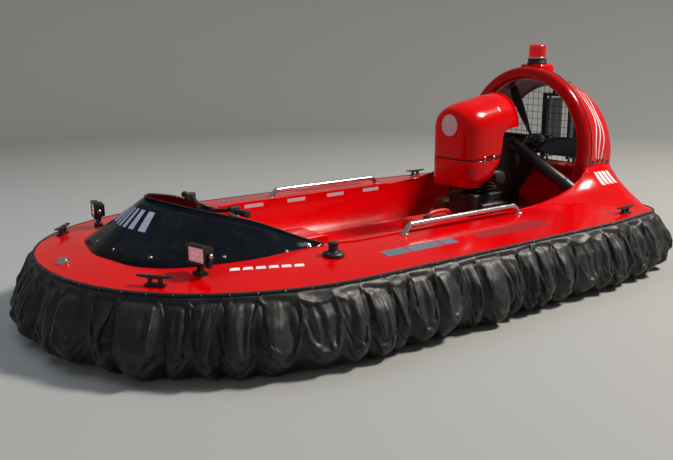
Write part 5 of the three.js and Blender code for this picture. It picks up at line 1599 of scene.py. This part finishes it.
class HOVERCRAFT_OT_engine(bpy.types.Operator):
    """Cast the engine with its fins, bolts, carburettor, belt cover, struts and exhaust"""
    bl_idname = "hovercraft.engine"
    bl_label = "Engine"

    def execute(self, context):
        bm = bmesh.new()
        for start, stop, half, low, high, edge in ENGINE_BOXES:
            add_box(bm, at(start, -half, low), at(stop, half, high), edge=edge, segments=3)
        for k in range(9):
            z = 446 + 24 * k
            add_box(bm, at(336, -96, z), at(544, 96, z + 7), edge=0.003)
        for k in range(5):
            add_box(bm, at(388 + 24 * k, -60, 689), at(396 + 24 * k, 60, 738), edge=0.003)
        # Ribs and ring of the side covers
        for side in (1, -1):
            for k in range(6):
                x, y = 345 + 32 * k, side * 166
                add_box(bm, at(x, y - 3, 240), at(x + 8, y + 3, 356), edge=0.0025)
            add_spin(bm, [(0.0, 0.010), (0.034, 0.010), (0.040, 0.004), (0.040, -0.004), (0.0, -0.004)],
                     at(520, side * 165, 300), (0, side, 0), steps=32)
        piece("engine_block_cast", bm, "engine_metal", "engine_block")

        bm = bmesh.new()
        for x, y in ((388, -50), (388, 50), (492, -50), (492, 50)):
            add_rod(bm, at(x, y, 690), at(x, y, 704), 0.009, sides=6, edge=0.001)
        for side in (1, -1):
            for x in (322, 548, 435):
                for z in (240, 356):
                    add_screw(bm, at(x, side * 165.5, z), (0, side, 0), 0.007, 0.005)
            for x in (275, 595):
                add_rod(bm, at(x, side * 130, 186), at(x, side * 130, 196), 0.009, sides=6, edge=0.001)
        add_rod(bm, at(440, 0, 750), at(440, 0, 766), 0.011, sides=6, edge=0.001)
        add_rod(bm, at(440, 0, 766), at(440, 0, 782), 0.006, sides=16)
        piece("engine_bolts", bm, "stainless", sharp=28.0)

        # Carburettor and its foam air filter on the port side of the cylinder
        bm = bmesh.new()
        add_rod(bm, at(430, 94, 545), at(430, 120, 545), 0.022, sides=28, edge=0.002)
        add_box(bm, at(402, 118, 520), at(458, 146, 572), edge=0.006, segments=3)
        add_rod(bm, at(430, 145, 545), at(430, 154, 545), 0.026, sides=32, edge=0.002)
        add_rod(bm, at(414, 132, 500), at(414, 132, 522), 0.013, sides=20, edge=0.002)
        piece("carburettor", bm, "engine_metal")
        bm = bmesh.new()
        rows = [(0.0, 0.0), (0.040, 0.0), (0.046, 0.004)]
        rows += [(0.047 if k % 2 else 0.0435, 0.006 + 0.0045 * k) for k in range(9)]
        rows += [(0.046, 0.046), (0.038, 0.050), (0.0, 0.051)]
        add_spin(bm, rows, at(430, 153, 545), (0, 1, 0), steps=40)
        piece("air_filter", bm, "rubber_black", sharp=50.0)

        # Belt cover: ribs across its face and screws along its edges
        bm = bmesh.new()
        for k in range(7):
            z, half = 330 + 54 * k, 76 - 3.2 * k
            add_box(bm, at(85, -half, z), at(93, half, z + 8), edge=0.003)
        piece("belt_cover_ribs", bm, "black_plastic")
        bm = bmesh.new()
        for side in (1, -1):
            for k in range(6):
                add_screw(bm, at(92, side * (78 - 4.5 * k), 310 + 78 * k), (-1, 0, 0), 0.006, 0.005)
        piece("belt_cover_screws", bm, "stainless")

        # Struts with a clamp near each end
        for name, side in (("strut_port", 1), ("strut_starboard", -1)):
            bm = bmesh.new()
            start, foot = at(176, side * 84, 752), at(128, side * 545, 490)
            along = (foot - start).normalized()
            add_rod(bm, start, foot + along * 0.052, 0.040, sides=48, edge=0.004)
            for place in (0.055, 0.470):
                clamp = start + along * place
                add_rod(bm, clamp, clamp + along * 0.022, 0.0425, sides=48, edge=0.002)
            piece(name + "_tube", bm, "black_plastic", name)

        # Exhaust: drum with rolled seams, a bent pipe with its flange, a foot and a tail pipe
        bm = bmesh.new()
        half = [(0.0, 0.150), (0.046, 0.150), (0.052, 0.148), (0.062, 0.136), (0.0665, 0.132),
                (0.0665, 0.127), (0.064, 0.124), (0.064, 0.004), (0.0655, 0.002)]
        rows = [(radius, -height) for radius, height in half] + half[::-1]
        add_spin(bm, rows, at(400, -270, 285), (1, 0, 0), steps=56)
        pipe = [at(440, y, z) for y, z in (
            (-94, 560), (-130, 560), (-170, 556), (-236, 500), (-270, 400), (-270, 300))]
        add_tube(bm, smooth_path(pipe, 8), 0.019, sides=24)
        add_box(bm, at(412, -104, 530), at(468, -96.5, 590), edge=0.003)
        add_rod(bm, at(440, -268, 344), at(440, -270, 356), 0.0225, sides=28, edge=0.002)
        add_box(bm, at(300, -288, 150.5), at(340, -252, 245), edge=0.003)
        tail = [at(262, -270, 285), at(235, -270, 285), at(216, -276, 290), at(206, -290, 300)]
        add_tube(bm, smooth_path(tail, 6), 0.015, sides=20)
        piece("exhaust_welded", bm, "exhaust_steel", "exhaust")
        return {"FINISHED"}


# Rudders: station and half the distance between their pivots
RUDDER_STATION, RUDDER_Y = -432, 100
# Pin and its two nuts: bottom and top in mm, radius, sides and rounding
RUDDER_PINS = ((566.4, 1049.6, 0.007, 20, 0.0), (572, 588, 0.0115, 6, 0.0008),
               (1036, 1046, 0.0115, 6, 0.0008))


def aerofoil(points=30):
    """Outline of a rudder's section about its own pivot in metres, 44 mm ahead and 150 mm behind."""
    out = []
    for a in circle(points):
        share = 0.5 - 0.5 * math.cos(a)
        half = 9.0 * 2.6 * (math.sqrt(share) * (1 - share) ** 0.85) * 0.62 + 1.1 * share
        out.append(((44 - 194 * share) / 1000, (half if a <= math.pi else -half) / 1000))
    return out


class HOVERCRAFT_OT_rudders(bpy.types.Operator):
    """Mould both rudders with their ribs and pivot pins"""
    bl_idname = "hovercraft.rudders"
    bl_label = "Rudders"

    def execute(self, context):
        section = aerofoil()
        for name, side in (("rudder_port", 1), ("rudder_starboard", -1)):
            y = side * RUDDER_Y
            pivot = at(RUDDER_STATION, y)
            bm = bmesh.new()
            levels = [(590.0, 0.965), (591.5, 0.99), (594, 1.0)]
            levels += [(z, 1.0) for z in range(620, 1030, 26)] + [(1030, 1.0), (1032.5, 0.99), (1034, 0.965)]
            add_loft(bm, [[pivot + Vector((a * share, b * share, z / 1000)) for a, b in section]
                          for z, share in levels], caps=True)
            for z in (655, 734, 812, 890, 969):
                add_loft(bm, [[pivot + Vector((a * 0.985, b * 1.12, level / 1000)) for a, b in section]
                              for level in (z - 5, z + 5)], caps=True)
            piece(name + "_moulded", bm, "blade_composite", name, body=name, sharp=40.0)
            bm = bmesh.new()
            for low, high, radius, sides, edge in RUDDER_PINS:
                start, stop = at(RUDDER_STATION, y, low), at(RUDDER_STATION, y, high)
                add_rod(bm, start, stop, radius, sides=sides, edge=edge)
            for z in (608, 1016):
                for out in (1, -1):
                    add_screw(bm, at(RUDDER_STATION - 13, y + out * 9.3, z), (0, out, 0), 0.0045, 0.0025)
            piece(name + "_pins", bm, "stainless", body=name, sharp=30.0)
        return {"FINISHED"}


CAP_STATION, CAP_Y = 1148, 260


class HOVERCRAFT_OT_tank(bpy.types.Operator):
    """Blow-mould the fuel tank with its handle, panels and cap"""
    bl_idname = "hovercraft.tank"
    bl_label = "Fuel tank"

    def execute(self, context):
        bm = bmesh.new()
        add_box(bm, at(850, 55, 150.5), at(1200, 345, 352), edge=0.030, segments=6)
        for y in (55, 345):
            add_box(bm, at(900, y - 2.5, 190), at(1150, y + 2.5, 312), edge=0.0024)
        for x in (850, 1200):
            add_box(bm, at(x - 2.5, 100, 190), at(x + 2.5, 300, 312), edge=0.0024)
        handle = [(910, 344), (916, 374), (950, 388), (1010, 390), (1056, 387), (1094, 374), (1100, 344)]
        add_tube(bm, smooth_path([at(x, 200, z) for x, z in handle], 6), 0.013, sides=20)
        add_spin(bm, [(0.0, 0.3599), (0.029, 0.3599), (0.030, 0.3580), (0.030, 0.3490), (0.0, 0.3490)],
                 at(CAP_STATION, CAP_Y), steps=36)
        piece("fuel_tank_moulded", bm, "tank_red", "fuel_tank", sharp=40.0)
        bm = bmesh.new()
        for a in circle(28):
            made = add_box(bm, (-0.0012, -0.0014, -0.009), (0.0012, 0.0014, 0.009), edge=0.0006)
            moved(bm, made, Matrix.Rotation(a, 3, "Z"), at(CAP_STATION, CAP_Y, 371.3) + polar(a, 0.0345))
        piece("fuel_cap_ridges", bm, "black_plastic")
        return {"FINISHED"}


COLUMN_FOOT, COLUMN_HEAD = (2632, 0, 345), (2566, 0, 538)


class HOVERCRAFT_OT_steering(bpy.types.Operator):
    """Build the steering column, the handlebar with its clamp, and the grips with their levers"""
    bl_idname = "hovercraft.steering"
    bl_label = "Steering"

    def execute(self, context):
        foot, head = at(*COLUMN_FOOT), at(*COLUMN_HEAD)
        rake = (head - foot).normalized()
        bm = bmesh.new()
        add_rod(bm, foot + rake * 0.0012, head, 0.024, sides=40, edge=0.002)
        add_spin(bm, [(0.0, 0.010), (0.030, 0.010), (0.040, 0.007), (0.046, 0.0015), (0.046, 0.0008),
                      (0.0, 0.0008)], foot, steps=44)
        add_spin(bm, [(0.0, 0.0), (0.030, 0.0), (0.031, 0.003), (0.031, 0.018), (0.029, 0.021), (0.0, 0.021)],
                 head - rake * 0.0215, rake, steps=40)
        piece("steering_column_tube", bm, "black_metal", "steering_column")
        bm = bmesh.new()
        for a in circle(4, math.pi / 4):
            add_screw(bm, foot + polar(a, 0.038, 0.0076), (0, 0, 1), 0.0042, 0.003)
        piece("steering_column_screws", bm, "stainless")

        # Bar and its clamp, both turning with the steering
        bm = bmesh.new()
        half = [(2560, 0, 560), (2560, 52, 560), (2546, 96, 570), (2522, 190, 584), (2513, 226, 586)]
        points = [at(x, -y, z) for x, y, z in reversed(half[1:])] + [at(*p) for p in half]
        add_tube(bm, smooth_path(points, 7), 0.012, sides=24)
        low = head + rake * 0.0006
        add_spin(bm, [(0.0, 0.0), (0.029, 0.0), (0.030, 0.002), (0.030, 0.040), (0.027, 0.045), (0.0, 0.046)],
                 low, rake, steps=40)
        sideways = Vector((0, 1, 0))
        across = rake.cross(sideways)
        turn = Matrix((across, sideways, rake)).transposed()
        made = add_box(bm, (-0.034, -0.048, 0.040), (0.034, 0.048, 0.052), edge=0.005, segments=3)
        moved(bm, made, turn, low)
        piece("handlebar_tube", bm, "black_metal", "handlebar", body="steering")
        bm = bmesh.new()
        for x, y in four(0.022, 0.034):
            add_screw(bm, low + across * x + sideways * y + rake * 0.052, rake, 0.0046, 0.0034)
        piece("handlebar_screws", bm, "stainless", body="steering")

        for name, side in (("grip_port", 1), ("grip_starboard", -1)):
            inner, outer = at(2513, side * 232, 586), at(2500, side * 362, 588)
            along = (outer - inner).normalized()
            length = (outer - inner).length
            bm = bmesh.new()
            rows = [(0.0, 0.005), (0.020, 0.005), (0.024, 0.008), (0.024, 0.016), (0.019, 0.019)]
            for k in range(22):
                h = 0.022 + k * 0.0044
                rows += [(0.0158, h), (0.0170, h + 0.0014), (0.0170, h + 0.0030)]
            rows += [(0.0175, length - 0.012), (0.0190, length - 0.008), (0.0185, length - 0.002),
                     (0.012, length), (0.0, length)]
            add_spin(bm, rows, inner, along, steps=36)
            # Control housing
            made = add_box(bm, (-0.030, -0.014, -0.028), (0.034, 0.016, 0.026), edge=0.009, segments=4)
            bmesh.ops.translate(bm, verts=made, vec=at(2516, side * 252, 590))
            piece(name + "_moulded", bm, "rubber_black", name, body="steering", sharp=50.0)
            bm = bmesh.new()
            lever = [at(x, side * y, z) for x, y, z in ((2538, 252, 590), (2552, 262, 588), (2557, 278, 586),
                                                        (2555, 315, 584), (2552, 350, 582))]
            add_tube(bm, smooth_path(lever, 6), [0.0065 - 0.0025 * k / 24 for k in range(25)], sides=16)
            add_spin(bm, [(0.0, 0.007), (0.004, 0.006), (0.0068, 0.003), (0.0075, 0.0), (0.0068, -0.003),
                          (0.004, -0.006), (0.0, -0.007)], lever[-1], steps=20)
            add_rod(bm, at(2540, side * 256, 576), at(2540, side * 256, 602), 0.006, sides=18, edge=0.001)
            piece(name + "_lever", bm, "alloy_tube", body="steering")
        return {"FINISHED"}


class HOVERCRAFT_PT_sidebar(bpy.types.Panel):
    """The craft's pieces, one button each"""
    bl_label = "Rescue hovercraft"
    bl_idname = "HOVERCRAFT_PT_sidebar"
    bl_space_type = "VIEW_3D"
    bl_region_type = "UI"
    bl_category = "Hovercraft"

    def draw(self, context):
        column = self.layout.column()
        for group in (context.scene.hovercraft_colours, context.scene.hovercraft_sizes):
            for key in group.__annotations__:
                column.prop(group, key)
        for operator in OPERATORS:
            column.operator(operator.bl_idname)


OPERATORS = (
    HOVERCRAFT_OT_stage,
    HOVERCRAFT_OT_finishes,
    HOVERCRAFT_OT_skirt,
    HOVERCRAFT_OT_windscreen,
    HOVERCRAFT_OT_duct,
    HOVERCRAFT_OT_guard,
    HOVERCRAFT_OT_cowl,
    HOVERCRAFT_OT_screen_fittings,
    HOVERCRAFT_OT_markings,
    HOVERCRAFT_OT_duct_trim,
    HOVERCRAFT_OT_fan,
    HOVERCRAFT_OT_lamps,
    HOVERCRAFT_OT_deck_fittings,
    HOVERCRAFT_OT_beacon,
    HOVERCRAFT_OT_faired,
    HOVERCRAFT_OT_softened,
    HOVERCRAFT_OT_rails,
    HOVERCRAFT_OT_engine,
    HOVERCRAFT_OT_rudders,
    HOVERCRAFT_OT_tank,
    HOVERCRAFT_OT_steering,
)
CLASSES = (HovercraftColours, HovercraftSizes, *OPERATORS, HOVERCRAFT_PT_sidebar)


def register():
    """Registers the classes and hangs the settings on the scene."""
    for one in CLASSES:
        bpy.utils.register_class(one)
    bpy.types.Scene.hovercraft_colours = PointerProperty(type=HovercraftColours)
    bpy.types.Scene.hovercraft_sizes = PointerProperty(type=HovercraftSizes)


def unregister():
    """Takes back what register did."""
    del bpy.types.Scene.hovercraft_sizes
    del bpy.types.Scene.hovercraft_colours
    for one in reversed(CLASSES):
        bpy.utils.unregister_class(one)


def main():
    """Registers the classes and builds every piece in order."""
    register()
    for operator in OPERATORS:
        family, name = operator.bl_idname.split(".")
        result = getattr(getattr(bpy.ops, family), name)()
        if "FINISHED" not in result:
            raise RuntimeError(f"{operator.bl_label} did not finish")


if __name__ == "__main__":
    main()
